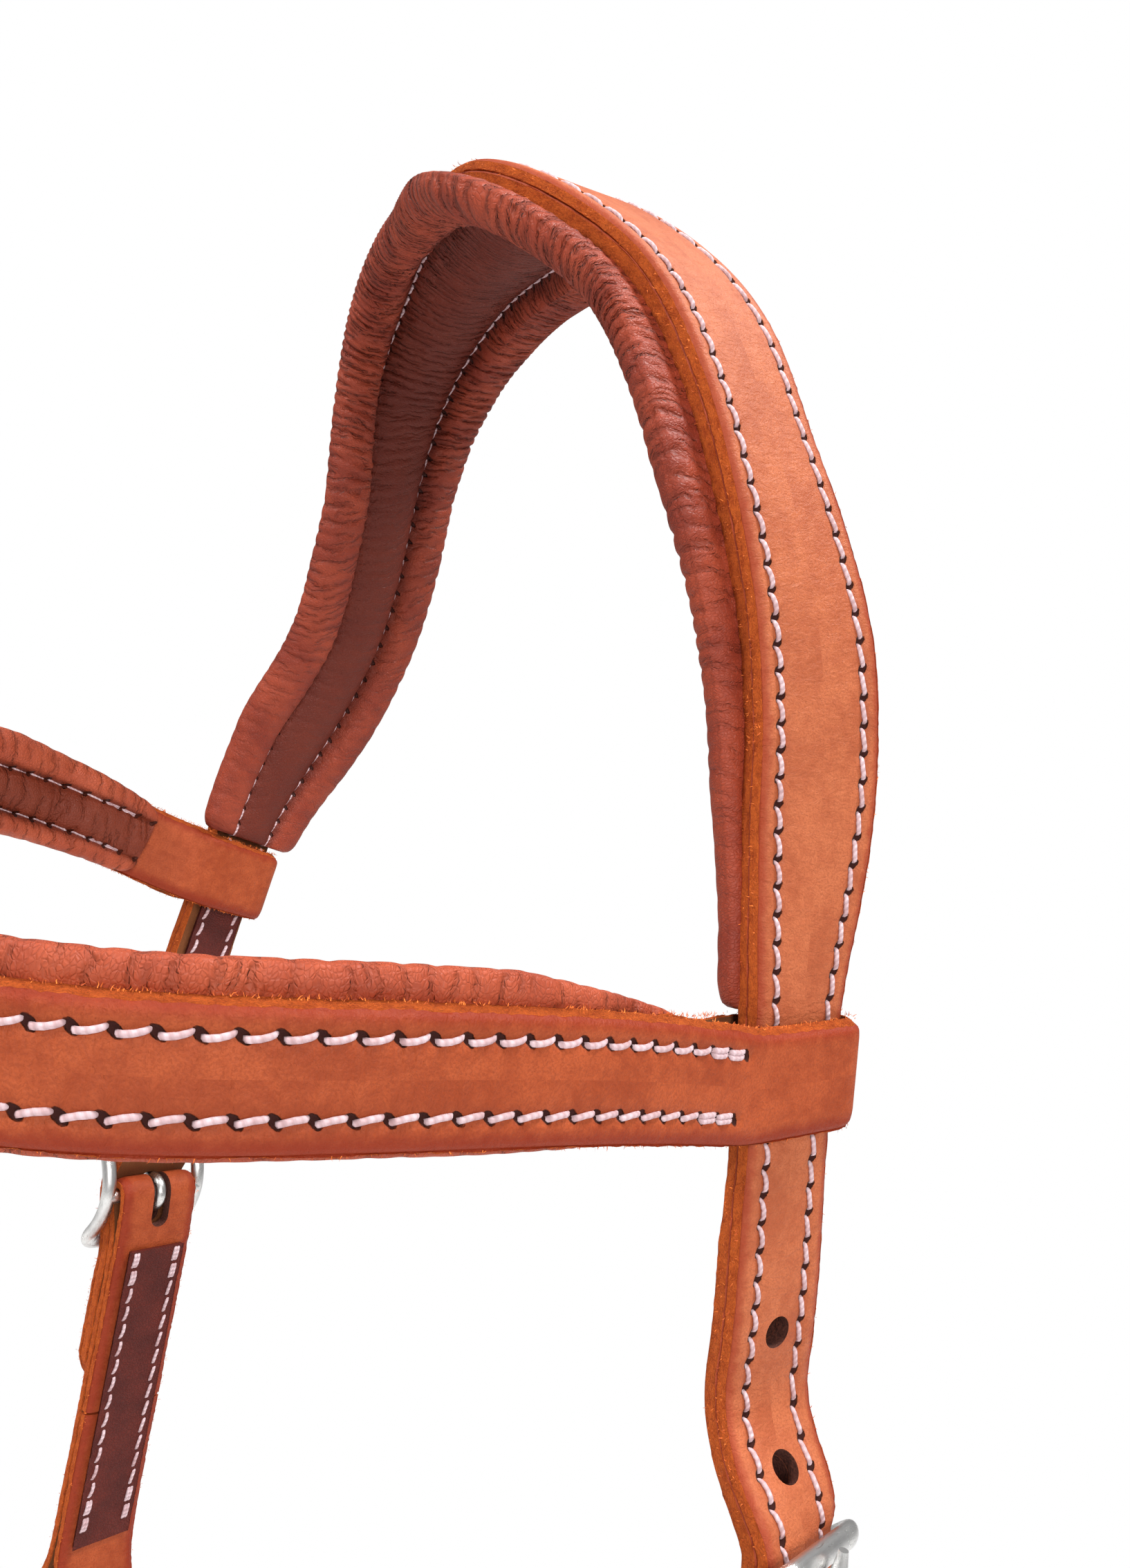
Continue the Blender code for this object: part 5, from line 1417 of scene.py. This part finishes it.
def settle(piece, body, node=None):
    """Puts a piece on its body, for the CAD node it stands for."""
    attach(piece, body)
    if node:
        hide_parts(node)
    return piece


def same(value):
    """A size that doesn't change along a strap."""
    return lambda at: value + 0 * np.asarray(at, float)


def by_loops(head, at, reach, fade):
    """1 beside either browband loop, where the headpiece stays slack, and 0 away from them."""
    off = np.minimum(np.abs(at - head.loop["near"]), np.abs(at - head.loop["far"]))
    return 1 - np.clip((off - reach) / fade, 0, 1)


def eased_poll(head):
    """The headpiece's ribbon with its bend and its turn eased over the poll."""
    line = head.line
    step = line.at[-1] / (len(line.at) - 1)
    off = np.abs(line.at - head.poll - EASE_BEHIND_POLL)
    share = np.interp(off, EASE_REACH, [1.0, 0.0])[:, None]
    share = share**2 * (3 - 2 * share)
    points = line.points + share * (softened(line.points, LINE_EASE / step) - line.points)
    across = unit(line.across + share * (softened(line.across, TURN_EASE / step) - line.across))
    return Ribbon(points - across * swelling(head, line.at)[:, None] / 2, across)


def swelling(head, at):
    """How much further the headpiece's front edge reaches beside the poll."""
    first, second = (np.exp(-(((at - head.poll - place) / reach) ** 2)) for place, reach in SWELL_BELLS)
    return SWELL_DEPTH * (first + second)


def widened(head):
    """Widths and rows of the headpiece that follow its swollen front edge."""
    wide, rows = head.widths, head.rows
    head.widths = lambda at: wide(at) + swelling(head, at)
    head.rows = lambda at: rows(at) + swelling(head, at) / 2


def closing(line, reach):
    """0 at a ribbon's two ends and 1 beyond a reach from them, rising as a quarter circle does."""
    end = np.clip(np.minimum(line.at, line.at[-1] - line.at) / reach, 0, 1)
    return np.sqrt(1 - (1 - end) ** 2)


def spare_peg(line, at):
    """The punch for a hole at a place along a strap."""
    point, _, _, out = line.spot(at)
    return peg(point, out)


def build_head(head, laps):
    """The headpiece's two plies, its holes, its threads and its loose fibres."""
    line = head.line
    wide = head.widths(line.at) - SLACK * by_loops(head, line.at, *SLACK_REACH)
    swell = EDGE_SWELL * (1 - by_loops(head, line.at, *FLAT_REACH))
    share = head.share_to_loop(line.at)
    full = np.interp(share, WIDTH_SHARES, [POLL_WIDTH, CROWN_WIDTH, CROWN_WIDTH, BILLET_WIDTH])
    full = full + swelling(head, line.at)
    taper = wide / full
    rows = head.rows(line.at)
    sewn = sewing(HEAD_ROW_END, head.end - HEAD_ROW_END)
    strap = strap_skin(
        "crown_strap", line, full, rows, -STRAP_THICKNESS, 0, FINISH["tan"], taper, sewn, CROWN_SHOULDER,
        leans=(CROWN_LEAN, 0.0),
    )
    backing = strap_skin(
        "crown_backing", line, full - BACKING_INSET, rows, -PLY - swell, -STRAP_THICKNESS - PLY_SINK,
        FINISH["tan"], taper, shoulder=0.0, corner=BACKING_CORNER,
    )
    for target in (strap, backing):
        cutters = []
        for side, lap in laps.items():
            cutters.append(tongue_peg(lap))
            toward = 1 if side == "near" else -1
            used = head.bar[side] - toward * HOLE_BEYOND_BAR
            spare = [k for k in range(-HOLES_BELOW, HOLES_ABOVE + 1) if k]
            cutters += [spare_peg(line, used + toward * k * HOLE_PITCH) for k in spare]
        punch(target, cutters)
    settle(strap, "headstall", "headpiece_strap")
    settle(backing, "headstall", "headpiece_backing")
    half = lambda at: head.widths(at) / 2 - HIDDEN * by_loops(head, at, *HIDDEN_REACH)
    fibres = fuzz("crown_fibres", line, half, -STRAP_THICKNESS, -FIBRES_BELOW_FACE, CROWN_FIBRES, 11)
    settle(fibres, "headstall")
    fibres = fuzz("backing_fibres", line, half, -PLY, -PLY + BACKING_THICKNESS, STRAP_FIBRES, 12)
    settle(fibres, "headstall")
    settle(stitches("crown_stitches", line, head.rows, sewn, same(STITCH_LEVEL)), "headstall")
    return sewn


def build_head_pad(head, laps, sewn):
    """The soft pad, the two linings and the threads inside."""
    half_loop = BAND_WIDTH / 2 + BAND_CLEARANCE + PAD_LOOP_GAP * PAD_LOOP_SHARE
    first, last = head.loop["near"] + half_loop, head.loop["far"] - half_loop
    line = smoothed(head.line.part(first, last), FINE_STEP)
    at = line.at * (last - first) / line.at[-1] + first
    close = closing(line, PAD_CLOSING)
    side = pad_sides(head, at) * (0.7 + 0.3 * close)
    heights = [PAD_HEIGHT, PAD_HEIGHT, PAD_HEIGHT_AT_LOOP]
    height = np.interp(head.share_to_loop(at), PAD_HEIGHT_SHARES, heights) * (0.75 + 0.25 * close)
    front = side - 0.5 * swelling(head, at)
    behind = side * np.interp(head.poll - at, BEHIND_PLACES, BEHIND_SHARES)
    moved = next_hole(sewn[0], first) - first, int((last - first) / PITCH)
    pad = pad_skin(
        "poll_pad", line, head.rows(at), (front, behind), height, PAD_SEAM, -PLY - GAP, FINISH["brown"], moved,
        POLL_CREASE, 1, head.poll - first, CREASED_REACH,
    )
    settle(pad, "headstall", "headpiece_pad")
    low = -PLY - GAP - LINING_THICKNESS
    stops = {}
    for name in laps:
        toward = -1 if name == "near" else 1
        start = head.loop[name] - toward * BAND_WIDTH / 2
        stops[name] = stop = head.bar[name] - toward * LINING_END_SHARE * BUCKLE_HALF_HEIGHT
        strip = head.line.part(min(start, stop), max(start, stop))
        lining = strap_skin(
            f"{name}_lining", strip, LINING_WIDTH, BILLET_ROWS, low, low + LINING_THICKNESS, FINISH["dark"],
            shoulder=0.0,
        )
        settle(lining, "headstall", f"{name}_billet_lining")

    def level(places):
        """The innermost face at each place: the pad's seam, the lining or the bare backing."""
        on_pad = (places > first) & (places < last)
        on_lining = (places > stops["near"]) & (places < stops["far"])
        return np.where(on_pad, -PLY - GAP - PAD_SEAM, np.where(on_lining, low, -PLY))

    inner = stitches("inner_stitches", head.line, head.rows, sewn, level, -1, lift=INSIDE_LIFT)
    settle(inner, "headstall")


def build_band(head):
    """The browband with its turned loops, its pad and its threads."""
    band = Browband(head)
    half, rows = STRAP_THICKNESS / 2, same(BAND_ROWS)
    line = smoothed(band.line(), BAND_STEP, BAND_EASE)
    total = band.main.at[-1]
    offset, far_offset = (where(line, band.main.points[end]) for end in (0, -1))
    sewn = sewing(ROW_END, total - ROW_END)
    on_line = offset + ROW_END, sewn[1]
    from_loop = np.minimum(line.at - offset, far_offset - line.at)
    inner = -half - np.interp(from_loop, [share * BAND_TUCK for share in BAND_SWELL_SHARES], [0.0, BAND_SWELL])
    strap = strap_skin(
        "brow_strap", line, BAND_WIDTH, BAND_ROWS, inner, half, FINISH["band"], 1.0, on_line, BAND_SHOULDER,
        leans=(0.0, BAND_LEAN),
    )
    settle(strap, "browband", "browband_strap")
    fibres = fuzz("brow_fibres", line, same(BAND_WIDTH / 2), -half, half - 0.5 * MM, BAND_FIBRES, 21)
    settle(fibres, "browband")
    outer = stitches("brow_stitches", band.main, rows, sewn, same(half + STITCH_LEVEL), doubled=2)
    settle(outer, "browband")
    pad_start = BAND_TUCK * PAD_START_SHARE
    part = smoothed(band.main.part(pad_start, total - pad_start), FINE_STEP)
    at = part.at * (total - 2 * pad_start) / part.at[-1] + pad_start
    from_end = np.minimum(at, total - at)
    grown = [pad_start, PAD_FULL_SHARE * BAND_TUCK]
    above = np.interp(from_end, grown, [BAND_PAD_SIDE_AT_LOOP, BAND_PAD_SIDE])
    below = np.interp(from_end, grown, [BAND_PAD_SIDE_AT_LOOP, BAND_PAD_SIDE_BELOW])
    height = np.interp(from_end, grown, [BAND_PAD_HEIGHT_AT_LOOP, BAND_PAD_HEIGHT])
    close = closing(part, BAND_PAD_CLOSING)
    sides = below * (0.3 + 0.7 * close), BAND_PAD_ABOVE * above * (0.3 + 0.7 * close)

    def top(from_either):
        """The pad's top this far from the band's nearer end, further in where the tucked ends cover it."""
        lifted = [share * BAND_TUCK for share in LIFT_SHARES]
        return -half - GAP - np.interp(from_either, lifted, [STRAP_THICKNESS + GAP + TUCK_ENTRY + GAP, 0.0])

    def level(places):
        from_either = np.minimum(places, total - places)
        return top(from_either) - np.where(from_either > pad_start, BAND_PAD_SEAM, 0.0)

    moved = next_hole(sewn[0], pad_start) - pad_start, int((total - 2 * pad_start) / PITCH)
    pad = pad_skin(
        "brow_pad", part, BAND_ROWS, sides, height * (0.7 + 0.3 * close), BAND_PAD_SEAM,
        top(from_end)[:, None], FINISH["brow"], moved, BAND_CREASE, 2,
    )
    settle(pad, "browband", "browband_pad")
    start = pad_start + 0.5 * MM
    sewn = next_hole(sewn[0], start), int((total - 2 * start) / PITCH) - 1
    inner = stitches("brow_inner_stitches", band.main, rows, sewn, level, -1, 2, INSIDE_LIFT)
    settle(inner, "browband")


def straight(lap, first, last, out):
    """A straight ribbon down a lap, facing out of it."""
    places = np.linspace(first, last, int((last - first) / LEG_STEP))
    return Ribbon(lap.line([(down, out) for down in places]), np.cross(lap.down, lap.out))


def build_folded(side, lap, length, width, body, node, linked):
    """A strap folded round its buckle's bar and its ring, with a slot for the tongue and rows down its legs."""
    line = smoothed(folded_line(lap, length, RING_FOLD), FOLD_STEP)
    half, outer = STRAP_THICKNESS / 2, lap.chape_offset()
    facing = line.spot(where(line, lap.at(length / 2, outer)))[3]
    first, last = LINING_TOP if linked else JAW_SEAM_SHARE * BUCKLE_HALF_HEIGHT, length - LINING_INSET
    ends = [where(line, lap.at(place, outer)) for place in (first, last)]
    rows = BILLET_ROWS if linked else width - JAW_OUTSIDE_ROWS
    sewn = sewing(min(ends), max(ends)) if np.dot(facing, lap.out) > 0 else None
    # The cheeks take the browband's darker leather as painted shade, though they are the headpiece's leather
    finish = "band" if linked else "tan"
    strap = strap_skin(f"{side}_strap", line, width, rows, -half, half, FINISH[finish], 1.0, sewn)
    punch(strap, [slot_peg(lap)])
    settle(strap, body, node)
    settle(fuzz(f"{side}_fibres", line, same(width / 2), -half, half, FOLD_FIBRES, 31), body)
    outside = straight(lap, first, last, outer + half)
    seam = sewing(0.0, outside.at[-1])
    settle(stitches(f"{side}_stitches", outside, same(rows), seam, same(STITCH_LEVEL), doubled=2), body)
    if not linked:
        return
    strip = straight(lap, LINING_TOP, last, lap.inner_offset() - half - GAP)
    lining = strap_skin(
        f"{side}_inner_lining", strip, LINING_WIDTH, rows, -LINING_THICKNESS, 0, FINISH["dark"], shoulder=0.0
    )
    settle(lining, body, f"{side}_lining")
    level = same(-LINING_THICKNESS)
    settle(stitches(f"{side}_inner_stitches", strip, same(rows), seam, level, -1, 2, INSIDE_LIFT), body)


def build_buckle(side, lap, bodies):
    """A smooth bowed frame with its bar, and the tongue with its drawn tip."""
    half = lap.width / 2 + BUCKLE_SIDE_GAP + BAR_RADIUS
    high, corner = BUCKLE_HALF_HEIGHT, BUCKLE_CORNER
    quarter = [
        *arc((high - corner, half - corner), (1, 0), (0, 1), corner, 0, 90, FRAME_CORNER_COUNT).tolist(),
        *[(share * (high - corner), half) for share in np.linspace(0.92, -0.92, FRAME_SIDE_COUNT)],
        *arc((corner - high, half - corner), (0, 1), (-1, 0), corner, 0, 90, FRAME_CORNER_COUNT).tolist(),
    ]
    crossings = np.linspace(half - corner, corner - half, FRAME_BAR_COUNT)[1:-1]
    outline = quarter + [(-high, across) for across in crossings]
    outline += [(down, -across) for down, across in reversed(quarter)]
    outline += [(high, -across) for across in crossings]
    points = [lap.at(down, BUCKLE_BOW * (down / high) ** 2, across) for down, across in outline]
    wide = BAR_RADIUS * (1.0 + FRAME_SPREAD * np.array([abs(down) / high for down, _ in outline]) ** 4)
    ring = tube(f"{side}_frame", points, wide, BAR_RADIUS * FRAME_DEPTH_SHARE, lap.out, closed=True, sides=20)
    points = [lap.at(0, 0, share * half) for share in np.linspace(-1, 1, 9)]
    bar = tube(f"{side}_bar", points, BAR_RADIUS * BAR_SHARE, BAR_RADIUS * BAR_SHARE, lap.out)
    settle(join(f"{side}_buckle", [ring, bar]), bodies[0], f"{side}_buckle_frame")
    eye = BAR_RADIUS + GAP + TONGUE_RADIUS
    leave = math.degrees(math.atan2(BUCKLE_BOW, high))
    turn = arc((0, 0), (0, 1), (1, 0), eye, leave + EYE_TURN, leave, 48)
    over = arc((-high, BUCKLE_BOW), (0, 1), (1, 0), eye, leave, 0, 8)
    shank = [turn[-1] + share * (over[0] - turn[-1]) for share in (0.2, 0.5, 0.8)]
    places = [*turn, *shank, *over, (-high - TONGUE_OVERHANG, BUCKLE_BOW + eye)]
    size = np.full(len(places), TONGUE_RADIUS)
    size[-3:] = TONGUE_RADIUS * TONGUE_TIP_SHARES
    tongue = tube(f"{side}_tongue", lap.line(places), size, size, lap.across)
    settle(tongue, bodies[1], f"{side}_buckle_tongue")


def build_rings(rings, side):
    """The side rings, smooth round wire."""
    first = unit(np.cross(side, BACK))
    second = np.cross(side, first)
    turns = np.linspace(0, 2 * math.pi, RING_STATIONS + 1)[:-1, None]
    for name, centre in rings.items():
        points = centre + RING_RADIUS * (np.cos(turns) * first + np.sin(turns) * second)
        ring = tube(f"{name}_ring", points, RING_WIRE, RING_WIRE, side, closed=True, sides=24)
        settle(ring, f"{name}_ring", f"{name}_side_ring")


def build_nose(rings, down):
    """The noseband, its backing, its pad and its threads."""
    droop = math.radians(NOSE_DROOP)
    sling = Sling(rings, -BACK * math.cos(droop) + down * math.sin(droop), NOSE_REACH)
    outside = sling.half + sling.fold
    side_line = [(outside, RING_RADIUS + share * NOSE_FOLD) for share in LEG_SHARES]
    side_line += [(side * sling.half, RING_RADIUS + away * NOSE_REACH) for side, away in NOSE_BULGE_SHARES]
    spots = [*side_line, (0, RING_RADIUS + NOSE_REACH), *[(-side, away) for side, away in reversed(side_line)]]
    main = spline([sling.at(*spot) for spot in spots], NOSE_STATIONS)[0]
    near, far = sling.fold_points(1, NOSE_FOLD), sling.fold_points(-1, NOSE_FOLD)
    line = smoothed(Ribbon([*near[:-1], *main, *far[:-1][::-1]], -sling.up), NOSE_STEP)
    whole = Ribbon(main, -sling.up)
    half, rows, total = STRAP_THICKNESS / 2, same(NOSE_ROWS), whole.at[-1]
    first = NOSE_ROW_SHARE * NOSE_FOLD
    sewn = sewing(first, total - first)
    on_line = where(line, main[0]) + first, sewn[1]
    strap = strap_skin(
        "nose_strap", line, NOSE_WIDTH, NOSE_ROWS, -half, half, FINISH["tan"], 1.0, on_line, NOSE_SHOULDER
    )
    settle(strap, "noseband", "noseband_strap")
    settle(fuzz("nose_fibres", line, same(NOSE_WIDTH / 2), -half, half, STRAP_FIBRES, 41), "noseband")
    outer = stitches("nose_stitches", whole, rows, sewn, same(half + STITCH_LEVEL), doubled=2)
    settle(outer, "noseband")
    start = BACKING_START * NOSE_FOLD
    part = whole.part(start, total - start)
    top = -half - GAP
    backing = strap_skin(
        "nose_backing", part, NOSE_WIDTH - NOSE_BACKING_INSET, NOSE_ROWS, top - BACKING_THICKNESS, top,
        FINISH["tan"], shoulder=NOSE_BACKING_SHOULDER,
    )
    settle(backing, "noseband", "noseband_backing")
    top = top - STRAP_THICKNESS - 2 * GAP
    start = NOSE_PAD_START_SHARE * NOSE_FOLD
    part = whole.part(start, total - start)
    at = part.at + start
    from_end = np.minimum(at, total - at)
    grown = [start, NOSE_PAD_FULL_SHARE * NOSE_FOLD]
    side = np.interp(from_end, grown, [NOSE_PAD_SIDE_AT_RING, NOSE_PAD_SIDE])
    height = np.interp(from_end, grown, [NOSE_PAD_HEIGHT_AT_RING, NOSE_PAD_HEIGHT])
    hole, number = next_hole(sewn[0], start), int((total - 2 * start) / PITCH)
    pad = pad_skin(
        "nose_pad", part, NOSE_ROWS, (side, side), height, PAD_SEAM, top, FINISH["brown"],
        (hole - start, number), NOSE_CREASE, 3,
    )
    settle(pad, "noseband", "noseband_pad")
    sewn, level = (hole, number - 1), same(top - PAD_SEAM)
    inner = stitches("nose_inner_stitches", whole, rows, sewn, level, -1, lift=INSIDE_LIFT)
    settle(inner, "noseband")


def build_jaw(rings, down):
    """The jaw strap's buckle piece and its billet."""
    sling, lap = hang_jaw(rings, down)
    build_folded("jaw", lap, JAW_CHAPE_LENGTH, JAW_WIDTH, "jaw", "jaw_buckle_strap", False)
    build_buckle("jaw", lap, ("jaw_frame", "jaw_tongue"))
    face = STRAP_THICKNESS / 2
    folded = sling.fold_points(-1, JAW_FOLD, face)
    outside = -(sling.half + sling.fold + face)
    legs = [sling.at(outside, RING_RADIUS + share * JAW_FOLD) for share in LEG_SHARES[1:]]
    bulge = [sling.shares(*spot) for spot in JAW_BULGE_SHARES]
    knots = np.array([folded[-1], *legs, *bulge, *lap.billet_line()])
    points = spline(knots, steps_between(0, lengths(knots)[-1], JAW_KNOT_STEP))[0]
    line = smoothed(Ribbon([*folded[:-1], *points], sling.up), JAW_STEP)
    taper = np.interp(line.at[-1] - line.at, np.linspace(0, TIP_LENGTH, len(TIP_SHARES)), TIP_SHARES)
    start, long = (share * JAW_FOLD for share in JAW_ROW_SHARES)
    sewn = where(line, folded[-1]) + start, int(long / PITCH)
    rows = JAW_WIDTH - JAW_OUTSIDE_ROWS
    billet = strap_skin(
        "jaw_strap_long", line, JAW_WIDTH, rows, -STRAP_THICKNESS, 0, FINISH["tan"], taper, sewn
    )
    used = line.at[-1] - lap.past - HOLE_FROM_BARS * BUCKLE_HALF_HEIGHT
    punch(billet, [tongue_peg(lap), *[spare_peg(line, used - k * HOLE_PITCH) for k in JAW_SPARE_HOLES]])
    settle(billet, "jaw", "jaw_billet")
    half = lambda places: np.interp(places, line.at, JAW_WIDTH / 2 * taper)
    settle(fuzz("jaw_fibres", line, half, -STRAP_THICKNESS, 0, STRAP_FIBRES, 51), "jaw")
    settle(stitches("jaw_long_stitches", line, same(rows), sewn, same(STITCH_LEVEL), doubled=1), "jaw")


FLOOR_SIZE, FLOOR_HEIGHT = 6.0, -0.50
WORLD_COLOUR, WORLD_LIGHT = (1.0, 0.99, 0.98, 1.0), 0.36
LIGHT_TARGET = (0.02, -0.03, -0.12)
LIGHTS = (
    ("key", (-0.25, -0.80, 0.70), 0.35, 9.0, (1.0, 0.98, 0.95)),
    ("top", (0.30, 0.30, 0.75), 0.25, 9.0, (1.0, 0.99, 0.98)),
    ("side", (1.00, -0.50, 0.30), 0.5, 9.0, (1.0, 0.98, 0.96)),
)
CAMERA_PLACE = (0.18253, -0.15101, -0.09120)
CAMERA_YAW, CAMERA_PITCH, CAMERA_ROLL = 43.99, 1.096, 9.401
CAMERA_LENS, CAMERA_SENSOR, CAMERA_NEAR = 27.92, 36.0, 0.01


def white_for_camera(tree, plain, kind, end):
    """Lets the camera see white, and every other ray the plain shader."""
    kinds = kind, "ShaderNodeMixShader", "ShaderNodeLightPath"
    white, mixer, path = (tree.nodes.new(name) for name in kinds)
    white.inputs[0].default_value = (1, 1, 1, 1)
    tree.links.new(path.outputs["Is Camera Ray"], mixer.inputs[0])
    tree.links.new(plain.outputs[0], mixer.inputs[1])
    tree.links.new(white.outputs[0], mixer.inputs[2])
    tree.links.new(mixer.outputs[0], tree.nodes[end].inputs["Surface"])


def build_stage():
    """A pale floor, a white surround for the camera only, and soft studio light."""
    bpy.ops.mesh.primitive_plane_add(size=FLOOR_SIZE, location=(0, 0, FLOOR_HEIGHT))
    floor = bpy.context.object
    floor.name = "floor"
    f = Finish("pale_floor")
    node = f.nodes.new("ShaderNodeTexCoord")
    grain = f.noise(node.outputs["Object"], 30.0, 3.0)
    colour = f.mix(grain, (0.86, 0.86, 0.86), (0.92, 0.92, 0.92))
    f.finish(colour, f.blend(grain, 0.85, 0.95), f.bump(grain, 0.0005))
    white_for_camera(f.made.node_tree, f.shader, "ShaderNodeEmission", "Material Output")
    floor.data.materials.append(f.made)
    world = bpy.data.worlds.new("studio")
    bpy.context.scene.world = world
    world.use_nodes = True
    plain = world.node_tree.nodes["Background"]
    plain.inputs[0].default_value, plain.inputs[1].default_value = WORLD_COLOUR, WORLD_LIGHT
    white_for_camera(world.node_tree, plain, "ShaderNodeBackground", "World Output")
    for name, place, size, power, colour in LIGHTS:
        lamp = bpy.data.lights.new(name, "AREA")
        lamp.size, lamp.energy, lamp.color = size, power, colour
        held = bpy.data.objects.new(name, lamp)
        held.location = place
        aim = Vector(LIGHT_TARGET) - Vector(place)
        held.rotation_euler = aim.to_track_quat("-Z", "Y").to_euler()
        bpy.context.scene.collection.objects.link(held)


def build_camera():
    """The camera that took the photograph, as fitted to its stitches."""
    yaw, pitch, roll = (math.radians(turn) for turn in (CAMERA_YAW, CAMERA_PITCH, CAMERA_ROLL))
    level, ahead = (np.array([math.cos(turn), math.sin(turn), 0.0]) for turn in (yaw, yaw + math.pi / 2))
    forward = math.cos(pitch) * ahead - math.sin(pitch) * UP
    upward = np.cross(level, forward)
    right = math.cos(roll) * level + math.sin(roll) * upward
    top = -math.sin(roll) * level + math.cos(roll) * upward
    lens = bpy.data.cameras.new("camera")
    lens.lens, lens.sensor_width, lens.clip_start = CAMERA_LENS, CAMERA_SENSOR, CAMERA_NEAR
    camera = bpy.data.objects.new("camera", lens)
    camera.matrix_world = basis(right, top, -forward, CAMERA_PLACE)
    bpy.context.scene.collection.objects.link(camera)
    bpy.context.scene.camera = camera
    bpy.context.scene.view_settings.view_transform = "Standard"


def build():
    laps, rings, side, down = hang_cheeks()
    head = Headpiece(laps)
    head.line = eased_poll(head)
    widened(head)
    sewn = build_head(head, laps)
    build_head_pad(head, laps, sewn)
    build_band(head)
    for name, lap in laps.items():
        build_folded(f"{name}_cheek", lap, CHEEK_LENGTH, BILLET_WIDTH, "headstall", f"{name}_cheek_strap", True)
        build_buckle(name, lap, (f"{name}_frame", f"{name}_tongue"))
    build_rings(rings, side)
    build_nose(rings, down)
    build_jaw(rings, down)
    build_stage()
    build_camera()


build()
